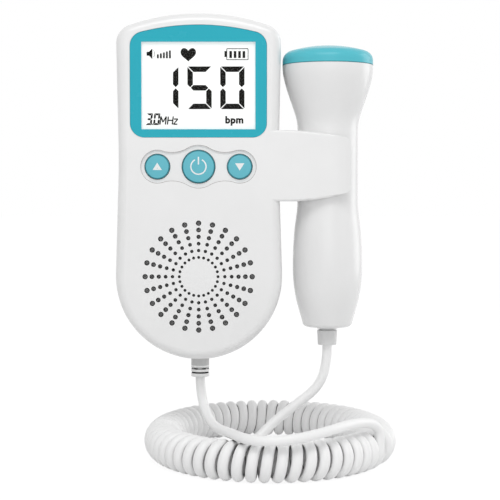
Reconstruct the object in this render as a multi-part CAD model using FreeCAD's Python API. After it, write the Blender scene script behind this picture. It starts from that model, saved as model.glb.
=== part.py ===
"""Fetal doppler monitor: a hand-held console with a display, three buttons, a speaker and a side
cradle, the ultrasound probe that parks in the cradle, and the curly cord between the two.

Millimetres. X runs across the console and Z up it. The front face looks towards -Y, and the
back face lies in the plane Y = 0. Z = 0 is half way up the console.
"""

import FreeCAD, Part
import math
import os

# ---------------------------------------------------------------- driving dimensions
# Console case, seen from the front
CASE_DEPTH = 30.0
CASE_TOP_Z = 67.35
WAIST_HALF_WIDTH = 31.3
WAIST_Z = 11.7
WAIST_BEND_RADIUS = 300.0
SHOULDER_FLARE = 0.8
BOTTOM_FLARE = 1.3
BOTTOM_CENTRE_Z = -35.0
TOP_ARC_RADIUS = 84.0
SHOULDER_RADIUS = 7.5
FRONT_EDGE_RADIUS = 3.6
BACK_EDGE_RADIUS = 5.0
SIDE_WALL = 2.0
FRONT_WALL = 2.2
BACK_WALL = 2.0
LIP_THICKNESS = 0.9
LIP_HEIGHT = 1.6
LIP_ROOM = 0.5

# Display
WINDOW_HALF_WIDTH = 22.1
WINDOW_HALF_HEIGHT = 16.9
WINDOW_CENTRE_Z = 39.2
BEZEL_HALF_WIDTH = 26.5
BEZEL_BOTTOM_MARGIN = 3.15
BEZEL_TOP_MARGIN = 6.5
BEZEL_TOP_RADIUS = 92.0
BEZEL_CORNER_RADIUS = 5.5
BEZEL_THICKNESS = 1.2
BEZEL_RECESS = 0.2
LENS_THICKNESS = 0.6
LENS_OVERLAP = 0.9
LCD_BORDER = 1.0
LCD_ROOM = 0.4
DISPLAY_PAD_MARGIN = 1.5
DISPLAY_PAD_HEIGHT = 1.8
LCD_THICKNESS = 2.0
BACKLIGHT_BORDER = 1.3
BACKLIGHT_THICKNESS = 2.7

# Buttons, in a shallow pocket whose outline follows them
BUTTON_Z = 7.8
BUTTON_SPACING = 16.0
SMALL_BUTTON_RADIUS = 4.8
POWER_BUTTON_RADIUS = 6.35
SMALL_POCKET_MARGIN = 1.65
POWER_POCKET_MARGIN = 2.0
POCKET_VALLEY_RADIUS = 12.0
POCKET_DEPTH = 0.7
BUTTON_HEIGHT = 1.1
BUTTON_CLEARANCE = 0.25
BUTTON_TRAVEL = 0.8
BUTTON_EDGE_RADIUS = 0.45
BUTTON_CROWN = 0.25
FLANGE_MARGIN = 0.9
FLANGE_THICKNESS = 0.8
PLUNGER_RADIUS = 1.5
SWITCH_SIZE = 6.0
SWITCH_HEIGHT = 1.5

# Main board
BOARD_SIDE_MARGIN = 2.5
BOARD_BOTTOM_Z = -8.0
BOARD_TOP_Z = 59.6
BOARD_THICKNESS = 1.6
STANDOFF_RADIUS = 2.2
# Places of the board screws, on both sides: distance in from the board's edge, height
STANDOFF_PLACES = [(2.0, 13.0), (5.2, -4.6)]
BOARD_SCREW_RADIUS = 1.0
BOARD_SCREW_HEAD_RADIUS = 1.9
BOARD_SCREW_HEAD_HEIGHT = 1.3
BOARD_SCREW_LENGTH = 2.6
BOARD_SCREW_HOLE_DEPTH = 3.6
# Chip places on the board: x, z, width, height, thickness
CHIPS = [(-4.0, 46.0, 10.0, 10.0, 1.4), (10.0, 48.0, 7.0, 5.0, 1.5),
         (12.0, 30.0, 5.0, 6.5, 1.6), (-12.0, 24.0, 6.0, 4.0, 1.2),
         (-18.5, 40.0, 4.0, 8.0, 2.0)]

# Speaker and its grille
GRILLE_SPOKES = 24
# Rings of holes: radius of the ring, radius of its holes
GRILLE_RINGS = [(7.53, 0.58), (10.2, 0.66), (12.87, 0.74), (15.53, 0.84), (18.2, 0.94),
                (20.85, 1.05)]
SPEAKER_RADIUS = 23.0
SPEAKER_RIM_THICKNESS = 1.2
SPEAKER_RIM_WIDTH = 2.0
BASKET_DEPTH = 5.0
BASKET_WALL = 0.8
MAGNET_RADIUS = 10.0
MAGNET_THICKNESS = 3.0
CONE_SKIN = 0.5
CONE_DOME_RADIUS = 8.0
CONE_FOOT_RADIUS = 7.0
CLOTH_THICKNESS = 0.3
GASKET_THICKNESS = 1.0
SEAT_RING_WALL = 1.0
SEAT_RING_HEIGHT = 3.4

# Battery bay, two AA cells side by side
CELL_RADIUS = 7.25
CELL_LENGTH = 49.0
CELL_NUB_RADIUS = 2.7
CELL_NUB_HEIGHT = 1.5
CELL_GAP = 0.7
CELL_CLEARANCE = 0.25
CELL_BOTTOM_Z = -18.4
CELL_EDGE_RADIUS = 0.6
CONTACT_SPACE = 3.0
CONTACT_THICKNESS = 0.4
CONTACT_HALF_WIDTH = 4.0
CONTACT_BOW_HALF_WIDTH = 3.4
BAY_WALL = 1.4
DOOR_THICKNESS = 2.0
DOOR_OVERLAP = 1.1
DOOR_CLEARANCE = 0.25
DOOR_TAB_LENGTH = 2.6
DOOR_TAB_HALF_WIDTH = 2.0
DOOR_TAB_THICKNESS = 1.2
DOOR_TAB_ROOT = 3.0
DOOR_LATCH_DEPTH = 2.4
DOOR_LATCH_THICKNESS = 1.2
DOOR_GROOVES = 5
DOOR_GROOVE_WIDTH = 1.0
DOOR_GROOVE_DEPTH = 0.5
DOOR_GROOVE_PITCH = 1.9
DOOR_GROOVE_TOP_MARGIN = 4.0
DOOR_GROOVE_HALF_LENGTH = 8.0
DOOR_GROOVE_SHORTENING = 0.9

# Case screws, driven from the back
UPPER_SCREW_INSET = 6.1
UPPER_SCREW_Z = 56.2
LOWER_SCREW_INSET = 5.9
LOWER_SCREW_ANGLE = 45.0
SCREW_SHANK_RADIUS = 1.25
SCREW_HEAD_RADIUS = 2.3
SCREW_HEAD_HEIGHT = 1.8
SCREW_THREAD_LENGTH = 7.0
SCREW_SINK_DEPTH = 7.0
SCREW_CROSS_REACH = 1.3
SCREW_CROSS_HALF_WIDTH = 0.3
SCREW_CROSS_DEPTH = 1.0
PILLAR_RADIUS = 2.4
BOSS_WALL = 1.0
SCREW_CLEARANCE = 0.3

# Headphone socket in the left side
JACK_BORE_RADIUS = 1.8
JACK_BORE_LENGTH = 14.0
JACK_NOSE_RADIUS = 2.4
JACK_HALF_SIZE = 2.5
JACK_Z = 3.0
JACK_LENGTH = 16.0

# Probe
PROBE_SIDE_DISTANCE = 19.65
NECK_RADIUS = 12.0
NECK_TOP_Z = 23.0
NECK_BOTTOM_Z = -5.0
HEAD_RADIUS = 18.0
HEAD_SEAM_Z = 48.2
CAP_TOP_Z = 55.95
CAP_DOME_RADIUS = 55.0
CAP_CORNER_RADIUS = 4.0
GRIP_SWELL = 1.76
GRIP_Z = -27.0
PROBE_END_RADIUS = 9.9
PROBE_BOTTOM_Z = -55.8
PROBE_END_ROUNDING = 1.6
PROBE_WALL = 1.8
SPIGOT_LENGTH = 3.2
SPIGOT_WALL = 1.4
SEAL_HALF_HEIGHT = 0.5
SEAL_DEPTH = 0.7
CAP_FACE_THICKNESS = 3.5
CRYSTAL_RADIUS = 11.0
CRYSTAL_THICKNESS = 1.1
CRYSTAL_GAP = 1.0
HOLDER_WALL = 1.2
HOLDER_HEIGHT = 8.7
PROBE_BOARD_LENGTH = 50.0
PROBE_BOARD_TOP_Z = 20.0
PROBE_BOARD_THICKNESS = 1.2
WIRE_RADIUS = 0.5
WIRE_X = 3.0
GRIP_LOW_POINT = (NECK_RADIUS + 0.76, -43.5)
GRIP_HIGH_POINT = (NECK_RADIUS + 0.75, -13.5)
HEAD_LOW_POINT = (NECK_RADIUS + 1.35, 30.0)
HEAD_MIDDLE_POINT = (15.94, 37.5)
HEAD_HIGH_POINT = (17.7, 44.2)

# Cradle: two jaws that reach out from the case and hold the neck of the probe
JAW_CLEARANCE = 0.3
JAW_TIP_REACH = 8.2
JAW_ROOT_TOP_Z = 22.0
JAW_ROOT_BOTTOM_Z = -5.7
JAW_TOP_BEND_REACH = 0.7
JAW_LOW_BEND_REACH = 4.7
JAW_TIP_TOP_Z = 19.0
JAW_TIP_BOTTOM_Z = -1.9
JAW_CORNER_RADIUS = 2.3
JAW_EDGE_RADIUS = 0.9
JAW_TIP_SETBACK = 1.0

# Cord, its glands and its coil
CORD_DIAMETER = 3.8
GLAND_RADIUS = 3.6
GLAND_LENGTH = 8.1
GLAND_NECK_RADIUS = 2.7
GLAND_FLANGE_MARGIN = 1.8
GLAND_FLANGE_THICKNESS = 1.5
PROBE_GLAND_TOP_RADIUS = 4.1
PROBE_GLAND_END_RADIUS = 3.7
PROBE_GLAND_LENGTH = 7.2
GLAND_GROOVE_WIDTH = 0.7
GLAND_GROOVE_DEPTH = 0.7
MAIN_GLAND_GROOVES = [1.2, 2.8]
PROBE_GLAND_GROOVE = 1.4
COIL_CENTRE = (28.0, -14.0, -101.0)
COIL_HALF_WIDTH = 42.8
COIL_HALF_DEPTH = 50.0
COIL_TUBE_RADIUS = 7.6
WIRE_BUNDLE_DIAMETER = 1.6

# Small gaps between pieces
SLIP = 0.1
FIT = 0.2
CORD_END_GAP = 0.3

# ---------------------------------------------------------------- places that follow from them
SHOULDER_HALF_WIDTH = WAIST_HALF_WIDTH + SHOULDER_FLARE
BOTTOM_RADIUS = WAIST_HALF_WIDTH + BOTTOM_FLARE
PROBE_AXIS_X = WAIST_HALF_WIDTH + PROBE_SIDE_DISTANCE
GRIP_RADIUS = NECK_RADIUS + GRIP_SWELL
JAW_TIP_X = PROBE_AXIS_X + JAW_TIP_REACH
BOARD_HALF_WIDTH = WAIST_HALF_WIDTH - SIDE_WALL - BOARD_SIDE_MARGIN
FRONT_Y = -CASE_DEPTH
SPLIT_Y = -CASE_DEPTH / 2
INNER_FRONT_Y = FRONT_Y + FRONT_WALL
INNER_BACK_Y = -BACK_WALL
CASE_BOTTOM_Z = BOTTOM_CENTRE_Z - BOTTOM_RADIUS

BEZEL_FRONT_Y = FRONT_Y + BEZEL_RECESS
BEZEL_BACK_Y = BEZEL_FRONT_Y + BEZEL_THICKNESS
LENS_BACK_Y = BEZEL_BACK_Y - SLIP / 2
LENS_FRONT_Y = LENS_BACK_Y - LENS_THICKNESS
LCD_FRONT_Y = BEZEL_BACK_Y + SLIP / 2
LCD_BACK_Y = LCD_FRONT_Y + LCD_THICKNESS
BACKLIGHT_BACK_Y = LCD_BACK_Y + BACKLIGHT_THICKNESS
BOARD_FRONT_Y = BACKLIGHT_BACK_Y
BOARD_BACK_Y = BOARD_FRONT_Y + BOARD_THICKNESS

POCKET_FLOOR_Y = FRONT_Y + POCKET_DEPTH
BUTTON_FACE_Y = POCKET_FLOOR_Y - BUTTON_HEIGHT
FLANGE_FRONT_Y = INNER_FRONT_Y + SLIP
FLANGE_BACK_Y = FLANGE_FRONT_Y + FLANGE_THICKNESS
SWITCH_FRONT_Y = BOARD_FRONT_Y - SWITCH_HEIGHT

CLOTH_BACK_Y = INNER_FRONT_Y + CLOTH_THICKNESS
GASKET_BACK_Y = CLOTH_BACK_Y + GASKET_THICKNESS
RIM_BACK_Y = GASKET_BACK_Y + SPEAKER_RIM_THICKNESS
BASKET_BACK_Y = RIM_BACK_Y + BASKET_DEPTH

CELL_SPAN = CELL_LENGTH + CELL_NUB_HEIGHT
CELL_X = CELL_RADIUS + CELL_GAP / 2
CELL_Y = -(DOOR_THICKNESS + CELL_CLEARANCE + CELL_RADIUS)
BAY_HALF_WIDTH = CELL_X + CELL_RADIUS + CELL_CLEARANCE
BAY_FLOOR_Y = CELL_Y - CELL_RADIUS - FIT
BAY_BOTTOM_Z = CELL_BOTTOM_Z - CONTACT_SPACE
BAY_TOP_Z = CELL_BOTTOM_Z + CELL_SPAN + CONTACT_SPACE
DOOR_HALF_WIDTH = BAY_HALF_WIDTH + DOOR_OVERLAP
DOOR_BOTTOM_Z = BAY_BOTTOM_Z + DOOR_TAB_LENGTH + 2 * DOOR_CLEARANCE
DOOR_TOP_Z = BAY_TOP_Z + DOOR_OVERLAP

JACK_Y = BOARD_BACK_Y + JACK_HALF_SIZE
JAW_INNER_HALF_GAP = NECK_RADIUS + JAW_CLEARANCE
GLAND_TOP_Z = CASE_BOTTOM_Z - SLIP
GLAND_END_Z = GLAND_TOP_Z - GLAND_LENGTH
GLAND_FLANGE_RADIUS = GLAND_NECK_RADIUS + GLAND_FLANGE_MARGIN
CASE_INNER_RADIUS = BOTTOM_RADIUS - SIDE_WALL
MAIN_FLANGE_Z = (BOTTOM_CENTRE_Z + SLIP
                 - math.sqrt(CASE_INNER_RADIUS ** 2 - GLAND_FLANGE_RADIUS ** 2))
PROBE_FLANGE_Z = PROBE_BOTTOM_Z + PROBE_WALL + SLIP
PROBE_GLAND_TOP_Z = PROBE_BOTTOM_Z - SLIP
PROBE_GLAND_END_Z = PROBE_GLAND_TOP_Z - PROBE_GLAND_LENGTH
SPIGOT_RADIUS = HEAD_RADIUS - PROBE_WALL - 0.3
CAP_UNDERSIDE_Z = CAP_TOP_Z - CAP_FACE_THICKNESS

# ---------------------------------------------------------------- routes of the free leads
MAIN_LEAD_POINTS = [
    (0.0, SPLIT_Y, GLAND_END_Z),
    (0.0, SPLIT_Y, -82.0),
    (2.6, -20.0, -90.5),
    (6.4, -34.0, -93.6),
    (12.6, -57.5, -91.4),
    (18.5, -69.5, -91.7),
    (28.0, -72.5, -91.9),
    (38.5, -71.5, -90.9),
    (49.0, -65.5, -89.2),
    (58.0, -54.5, -88.5),
    (66.5, -44.0, -89.5),
    (71.5, -37.5, -97.0),
]
PROBE_LEAD_POINTS = [
    (PROBE_AXIS_X, SPLIT_Y, PROBE_GLAND_END_Z - CORD_END_GAP),
    (PROBE_AXIS_X, SPLIT_Y, -70.5),
    (47.8, -15.2, -80.0),
    (39.0, -16.0, -86.8),
    (29.5, -18.0, -93.8),
    (22.0, -22.0, -101.0),
    (14.5, -28.0, -105.0),
    (11.2, -37.0, -106.6),
    (15.0, -46.5, -106.6),
    (25.0, -51.0, -106.6),
    (37.0, -50.0, -106.6),
    (48.0, -44.5, -106.6),
    (56.0, -36.5, -106.5),
    (64.0, -31.0, -102.0),
]
WIRE_BUNDLE_POINTS = [
    (0.0, SPLIT_Y, MAIN_FLANGE_Z + GLAND_FLANGE_THICKNESS + SLIP),
    (0.0, SPLIT_Y, -59.0),
    (11.0, -15.5, -50.0),
    (14.5, -17.0, -39.0),
    (15.0, -19.5, -24.0),
    (14.6, BOARD_FRONT_Y + BOARD_THICKNESS / 2, BOARD_BOTTOM_Z - 5.0),
    (14.6, BOARD_FRONT_Y + BOARD_THICKNESS / 2, BOARD_BOTTOM_Z - SLIP),
]


# ---------------------------------------------------------------- basic shapes
def point(x, y, z):
    return FreeCAD.Vector(x, y, z)


def box(x0, x1, y0, y1, z0, z1):
    return Part.makeBox(x1 - x0, y1 - y0, z1 - z0, point(x0, y0, z0))


def rod_x(y, z, radius, x0, x1):
    return Part.makeCylinder(radius, x1 - x0, point(x0, y, z), point(1, 0, 0))


def rod_y(x, z, radius, y0, y1):
    return Part.makeCylinder(radius, y1 - y0, point(x, y0, z), point(0, 1, 0))


def rod_z(x, y, radius, z0, z1):
    return Part.makeCylinder(radius, z1 - z0, point(x, y, z0), point(0, 0, 1))


def ring_y(x, z, outer, inner, y0, y1):
    return rod_y(x, z, outer, y0, y1).cut(rod_y(x, z, inner, y0, y1))


def line(a, b):
    return Part.LineSegment(point(a[0], 0, a[1]), point(b[0], 0, b[1])).toShape()


def arc(a, middle, b):
    ends = [point(p[0], 0, p[1]) for p in (a, middle, b)]
    return Part.Arc(*ends).toShape()


def prism(edges, y0, y1):
    """Solid between two planes square to Y, from an outline drawn in X and Z."""
    face = Part.Face(Part.Wire(edges))
    face.translate(point(0, y0, 0))
    return face.extrude(point(0, y1 - y0, 0))


def turned(edges, x, y):
    """Solid of revolution about the upright line at x, y, from a half outline (radius, z)."""
    face = Part.Face(Part.Wire(edges))
    face.translate(point(x, y, 0))
    return face.revolve(point(x, y, 0), point(0, 0, 1), 360)


def edges_at_y(shape, y):
    def lies_there(edge):
        return abs(edge.BoundBox.YMin - y) < 1e-4 and abs(edge.BoundBox.YMax - y) < 1e-4
    return [edge for edge in shape.Edges if lies_there(edge)]


def mirrored(places):
    return [(side * x, z) for x, z in places for side in (-1, 1)]


def on_circle(centre, radius, towards):
    """Point of a circle, in the direction from its centre to another point."""
    dx = towards[0] - centre[0]
    dz = towards[1] - centre[1]
    length = math.hypot(dx, dz)
    return (centre[0] + radius * dx / length, centre[1] + radius * dz / length)


def arc_middle(centre, radius, a, b):
    """Point of a circle half way between two of its points."""
    return on_circle(centre, radius, ((a[0] + b[0]) / 2, (a[1] + b[1]) / 2))


def flip(p):
    return (-p[0], p[1])


# ---------------------------------------------------------------- outlines
def shoulder_centre(half_width, top_z, top_radius, corner_radius):
    """Centre of the corner that is tangent to a straight side and to the arched top."""
    x = half_width - corner_radius
    rise = math.sqrt((top_radius - corner_radius) ** 2 - x ** 2)
    return (x, top_z - top_radius + rise)


def side_direction(centre, radius):
    """Square to the straight side that touches a corner circle and, beyond it, the waist bend."""
    bend = (WAIST_HALF_WIDTH + WAIST_BEND_RADIUS, WAIST_Z)
    dx = bend[0] - centre[0]
    dz = bend[1] - centre[1]
    tilt = math.acos((radius + WAIST_BEND_RADIUS) / math.hypot(dx, dz))
    angle = math.atan2(dz, dx) - math.copysign(tilt, dz)
    return (math.cos(angle), math.sin(angle))


def along(start, direction, distance):
    return (start[0] + direction[0] * distance, start[1] + direction[1] * distance)


def case_outline(inset):
    """Outline of the console from the front, moved inwards by inset."""
    bottom = (0.0, BOTTOM_CENTRE_Z)
    top = (0.0, CASE_TOP_Z - TOP_ARC_RADIUS)
    shoulder = shoulder_centre(SHOULDER_HALF_WIDTH, CASE_TOP_Z, TOP_ARC_RADIUS, SHOULDER_RADIUS)
    bend = (WAIST_HALF_WIDTH + WAIST_BEND_RADIUS, WAIST_Z)
    bend_radius = WAIST_BEND_RADIUS + inset
    corner = SHOULDER_RADIUS - inset
    lower = side_direction(bottom, BOTTOM_RADIUS)
    upper = side_direction(shoulder, SHOULDER_RADIUS)
    low = along(bottom, lower, BOTTOM_RADIUS - inset)
    waist_low = along(bend, lower, -bend_radius)
    waist = (WAIST_HALF_WIDTH - inset, WAIST_Z)
    waist_high = along(bend, upper, -bend_radius)
    high = along(shoulder, upper, corner)
    top_end = on_circle(top, TOP_ARC_RADIUS - inset, shoulder)
    corner_middle = on_circle(shoulder, corner, (shoulder[0] + 1, shoulder[1] + 1))
    return [
        arc(flip(low), (0, CASE_BOTTOM_Z + inset), low),
        line(low, waist_low),
        arc(waist_low, waist, waist_high),
        line(waist_high, high),
        arc(high, corner_middle, top_end),
        arc(top_end, (0, CASE_TOP_Z - inset), flip(top_end)),
        arc(flip(top_end), flip(corner_middle), flip(high)),
        line(flip(high), flip(waist_high)),
        arc(flip(waist_high), flip(waist), flip(waist_low)),
        line(flip(waist_low), flip(low)),
    ]


def bezel_outline(margin):
    """Outline of the display panel, arched like the case above it, moved outwards by margin."""
    half = BEZEL_HALF_WIDTH + margin
    corner = BEZEL_CORNER_RADIUS + margin
    bottom_z = WINDOW_CENTRE_Z - WINDOW_HALF_HEIGHT - BEZEL_BOTTOM_MARGIN - margin
    top_z = WINDOW_CENTRE_Z + WINDOW_HALF_HEIGHT + BEZEL_TOP_MARGIN + margin
    radius = BEZEL_TOP_RADIUS + margin
    shoulder = shoulder_centre(half, top_z, radius, corner)
    top = (0.0, top_z - radius)
    top_end = on_circle(top, radius, shoulder)
    side_top = (half, shoulder[1])
    corner_middle = on_circle(shoulder, corner, (shoulder[0] + 1, shoulder[1] + 1))
    side_bottom = (half, bottom_z + corner)
    bottom_end = (half - corner, bottom_z)
    low_middle = on_circle((half - corner, bottom_z + corner), corner, (half, bottom_z))
    return [
        line(flip(bottom_end), bottom_end),
        arc(bottom_end, low_middle, side_bottom),
        line(side_bottom, side_top),
        arc(side_top, corner_middle, top_end),
        arc(top_end, (0, top_z), flip(top_end)),
        arc(flip(top_end), flip(corner_middle), flip(side_top)),
        line(flip(side_top), flip(side_bottom)),
        arc(flip(side_bottom), flip(low_middle), flip(bottom_end)),
    ]


def bending_edge(start, end):
    """Arc that leaves its start level and bends to its end."""
    rise = end[1] - start[1]
    radius = ((end[0] - start[0]) ** 2 + rise ** 2) / (2 * abs(rise))
    centre = (start[0], start[1] + math.copysign(radius, rise))
    return arc(start, arc_middle(centre, radius, start, end), end)


def jaw_outline():
    """Outline of a cradle jaw from the front: level at its root, then tapering to its tip."""
    root_x = BEZEL_HALF_WIDTH
    top_bend = (WAIST_HALF_WIDTH + JAW_TOP_BEND_REACH, JAW_ROOT_TOP_Z)
    low_bend = (WAIST_HALF_WIDTH + JAW_LOW_BEND_REACH, JAW_ROOT_BOTTOM_Z)
    top_tip = (JAW_TIP_X, JAW_TIP_TOP_Z)
    low_tip = (JAW_TIP_X, JAW_TIP_BOTTOM_Z)
    return [
        line((root_x, JAW_ROOT_BOTTOM_Z), low_bend),
        bending_edge(low_bend, low_tip),
        line(low_tip, top_tip),
        bending_edge(top_bend, top_tip),
        line(top_bend, (root_x, JAW_ROOT_TOP_Z)),
        line((root_x, JAW_ROOT_TOP_Z), (root_x, JAW_ROOT_BOTTOM_Z)),
    ]


# ---------------------------------------------------------------- console shells
def jaw(outer_y, toward_inside):
    """One half of the cradle: the jaw and its half of the web behind the neck of the probe."""
    y0, y1 = sorted((outer_y, SPLIT_Y))
    solid = prism(jaw_outline(), y0, y1)
    solid = solid.makeFillet(JAW_CORNER_RADIUS, [
        edge for edge in solid.Edges if edge.BoundBox.XMin > JAW_TIP_X - 1e-3
        and edge.BoundBox.ZLength < 1e-3])
    solid = solid.makeFillet(JAW_EDGE_RADIUS, [
        edge for edge in edges_at_y(solid, outer_y) if edge.BoundBox.XMax > BEZEL_HALF_WIDTH + 1])
    gap = JAW_INNER_HALF_GAP
    slot = rod_z(PROBE_AXIS_X, SPLIT_Y, gap, JAW_ROOT_BOTTOM_Z - 1, JAW_ROOT_TOP_Z + 1)
    mouth = box(PROBE_AXIS_X, JAW_TIP_X + 1, SPLIT_Y - gap, SPLIT_Y + gap,
                JAW_ROOT_BOTTOM_Z - 1, JAW_ROOT_TOP_Z + 1)
    # The outer face falls back towards the tip on a large cylinder.
    run = JAW_TIP_X - PROBE_AXIS_X
    fall_radius = run ** 2 / (2 * JAW_TIP_SETBACK)
    axis_y = outer_y + toward_inside * fall_radius
    keep = rod_z(PROBE_AXIS_X, axis_y, fall_radius, JAW_ROOT_BOTTOM_Z - 1, JAW_ROOT_TOP_Z + 1)
    tip_zone = box(PROBE_AXIS_X, JAW_TIP_X + 1, y0 - 1, y1 + 1,
                   JAW_ROOT_BOTTOM_Z - 1, JAW_ROOT_TOP_Z + 1)
    return solid.cut(tip_zone.cut(keep)).cut(slot).cut(mouth)


def case_screw_places():
    """Places of the four case screws, drawn in X and Z."""
    lower = BOTTOM_RADIUS - LOWER_SCREW_INSET
    angle = math.radians(LOWER_SCREW_ANGLE)
    return mirrored([(SHOULDER_HALF_WIDTH - UPPER_SCREW_INSET, UPPER_SCREW_Z),
                     (lower * math.sin(angle), BOTTOM_CENTRE_Z - lower * math.cos(angle))])


def standoff_places():
    return mirrored([(BOARD_HALF_WIDTH - inset, z) for inset, z in STANDOFF_PLACES])


def pocket_web_circles():
    """Circles that hollow the pocket outline between the power button and a small button."""
    power = POWER_BUTTON_RADIUS + POWER_POCKET_MARGIN + POCKET_VALLEY_RADIUS
    small = SMALL_BUTTON_RADIUS + SMALL_POCKET_MARGIN + POCKET_VALLEY_RADIUS
    x = (power ** 2 - small ** 2 + BUTTON_SPACING ** 2) / (2 * BUTTON_SPACING)
    rise = math.sqrt(power ** 2 - x ** 2)
    return x, rise


def button_pocket():
    """Shallow recess round the three buttons, drawn as one flowing outline."""
    y0, y1 = FRONT_Y - 1, POCKET_FLOOR_Y
    x, rise = pocket_web_circles()
    solid = rod_y(0, BUTTON_Z, POWER_BUTTON_RADIUS + POWER_POCKET_MARGIN, y0, y1)
    for side in (-1, 1):
        small_x = side * BUTTON_SPACING
        small = rod_y(small_x, BUTTON_Z, SMALL_BUTTON_RADIUS + SMALL_POCKET_MARGIN, y0, y1)
        corners = [(0, BUTTON_Z), (side * x, BUTTON_Z + rise), (small_x, BUTTON_Z),
                   (side * x, BUTTON_Z - rise)]
        web = prism([line(corners[i], corners[(i + 1) % 4]) for i in range(4)], y0, y1)
        for up in (-1, 1):
            web = web.cut(rod_y(side * x, BUTTON_Z + up * rise, POCKET_VALLEY_RADIUS, y0, y1))
        solid = solid.fuse([small, web])
    return solid.removeSplitter()


def grille_holes():
    holes = []
    for radius, hole_radius in GRILLE_RINGS:
        for spoke in range(GRILLE_SPOKES):
            angle = 2 * math.pi * spoke / GRILLE_SPOKES
            holes.append(rod_y(radius * math.sin(angle), BOTTOM_CENTRE_Z + radius * math.cos(angle),
                               hole_radius, FRONT_Y - 1, INNER_FRONT_Y + 1))
    return Part.makeCompound(holes)


def window_block(half_extra, y0, y1):
    half_width = WINDOW_HALF_WIDTH + half_extra
    half_height = WINDOW_HALF_HEIGHT + half_extra
    return box(-half_width, half_width, y0, y1,
               WINDOW_CENTRE_Z - half_height, WINDOW_CENTRE_Z + half_height)


def gland_hole():
    return rod_z(0, SPLIT_Y, GLAND_NECK_RADIUS + SLIP, CASE_BOTTOM_Z - 1,
                 CASE_BOTTOM_Z + SIDE_WALL + 1)


def front_shell():
    solid = prism(case_outline(0), FRONT_Y, SPLIT_Y)
    solid = solid.makeFillet(FRONT_EDGE_RADIUS, edges_at_y(solid, FRONT_Y))
    cavity = prism(case_outline(SIDE_WALL), INNER_FRONT_Y, SPLIT_Y + 1)
    cavity = cavity.makeFillet(FRONT_EDGE_RADIUS - SIDE_WALL, edges_at_y(cavity, INNER_FRONT_Y))
    solid = solid.fuse(jaw(FRONT_Y, 1)).cut(cavity)

    display_pad = prism(bezel_outline(DISPLAY_PAD_MARGIN), INNER_FRONT_Y,
                        BEZEL_BACK_Y + DISPLAY_PAD_HEIGHT)
    seat = ring_y(0, BOTTOM_CENTRE_Z, SPEAKER_RADIUS + FIT + SEAT_RING_WALL, SPEAKER_RADIUS + FIT,
                  INNER_FRONT_Y, INNER_FRONT_Y + SEAT_RING_HEIGHT)
    added = [display_pad, seat]
    for x, z in case_screw_places():
        added.append(rod_y(x, z, PILLAR_RADIUS, INNER_FRONT_Y, SPLIT_Y - SLIP))
    for x, z in standoff_places():
        added.append(rod_y(x, z, STANDOFF_RADIUS, INNER_FRONT_Y, BOARD_FRONT_Y))
    solid = solid.fuse(added).removeSplitter()

    removed = [
        prism(bezel_outline(SLIP), FRONT_Y - 1, BEZEL_BACK_Y),
        window_block(LCD_BORDER + LCD_ROOM, FRONT_Y - 1, BEZEL_BACK_Y + FRONT_WALL + 1),
        button_pocket(),
        rod_y(0, BUTTON_Z, POWER_BUTTON_RADIUS + BUTTON_CLEARANCE, FRONT_Y - 1, INNER_FRONT_Y + 1),
        prism(case_outline(SIDE_WALL - LIP_THICKNESS - SLIP), SPLIT_Y - LIP_HEIGHT - SLIP,
              SPLIT_Y + 1).cut(prism(case_outline(SIDE_WALL + LIP_ROOM), SPLIT_Y - LIP_HEIGHT - 1,
                                     SPLIT_Y + 2)),
        gland_hole(),
        rod_x(JACK_Y, JACK_Z, JACK_NOSE_RADIUS + SLIP, -WAIST_HALF_WIDTH - 2,
              -WAIST_HALF_WIDTH + SIDE_WALL + 1),
    ]
    for side in (-1, 1):
        removed.append(rod_y(side * BUTTON_SPACING, BUTTON_Z,
                             SMALL_BUTTON_RADIUS + BUTTON_CLEARANCE, FRONT_Y - 1,
                             INNER_FRONT_Y + 1))
    for x, z in case_screw_places():
        removed.append(rod_y(x, z, SCREW_SHANK_RADIUS + SLIP / 2,
                             SPLIT_Y - SCREW_THREAD_LENGTH - 1, SPLIT_Y + 1))
    for x, z in standoff_places():
        removed.append(rod_y(x, z, BOARD_SCREW_RADIUS + SLIP / 2,
                             BOARD_FRONT_Y - BOARD_SCREW_HOLE_DEPTH, BOARD_FRONT_Y + 1))
    solid = solid.cut(removed)
    return solid.cut(grille_holes())


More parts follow.
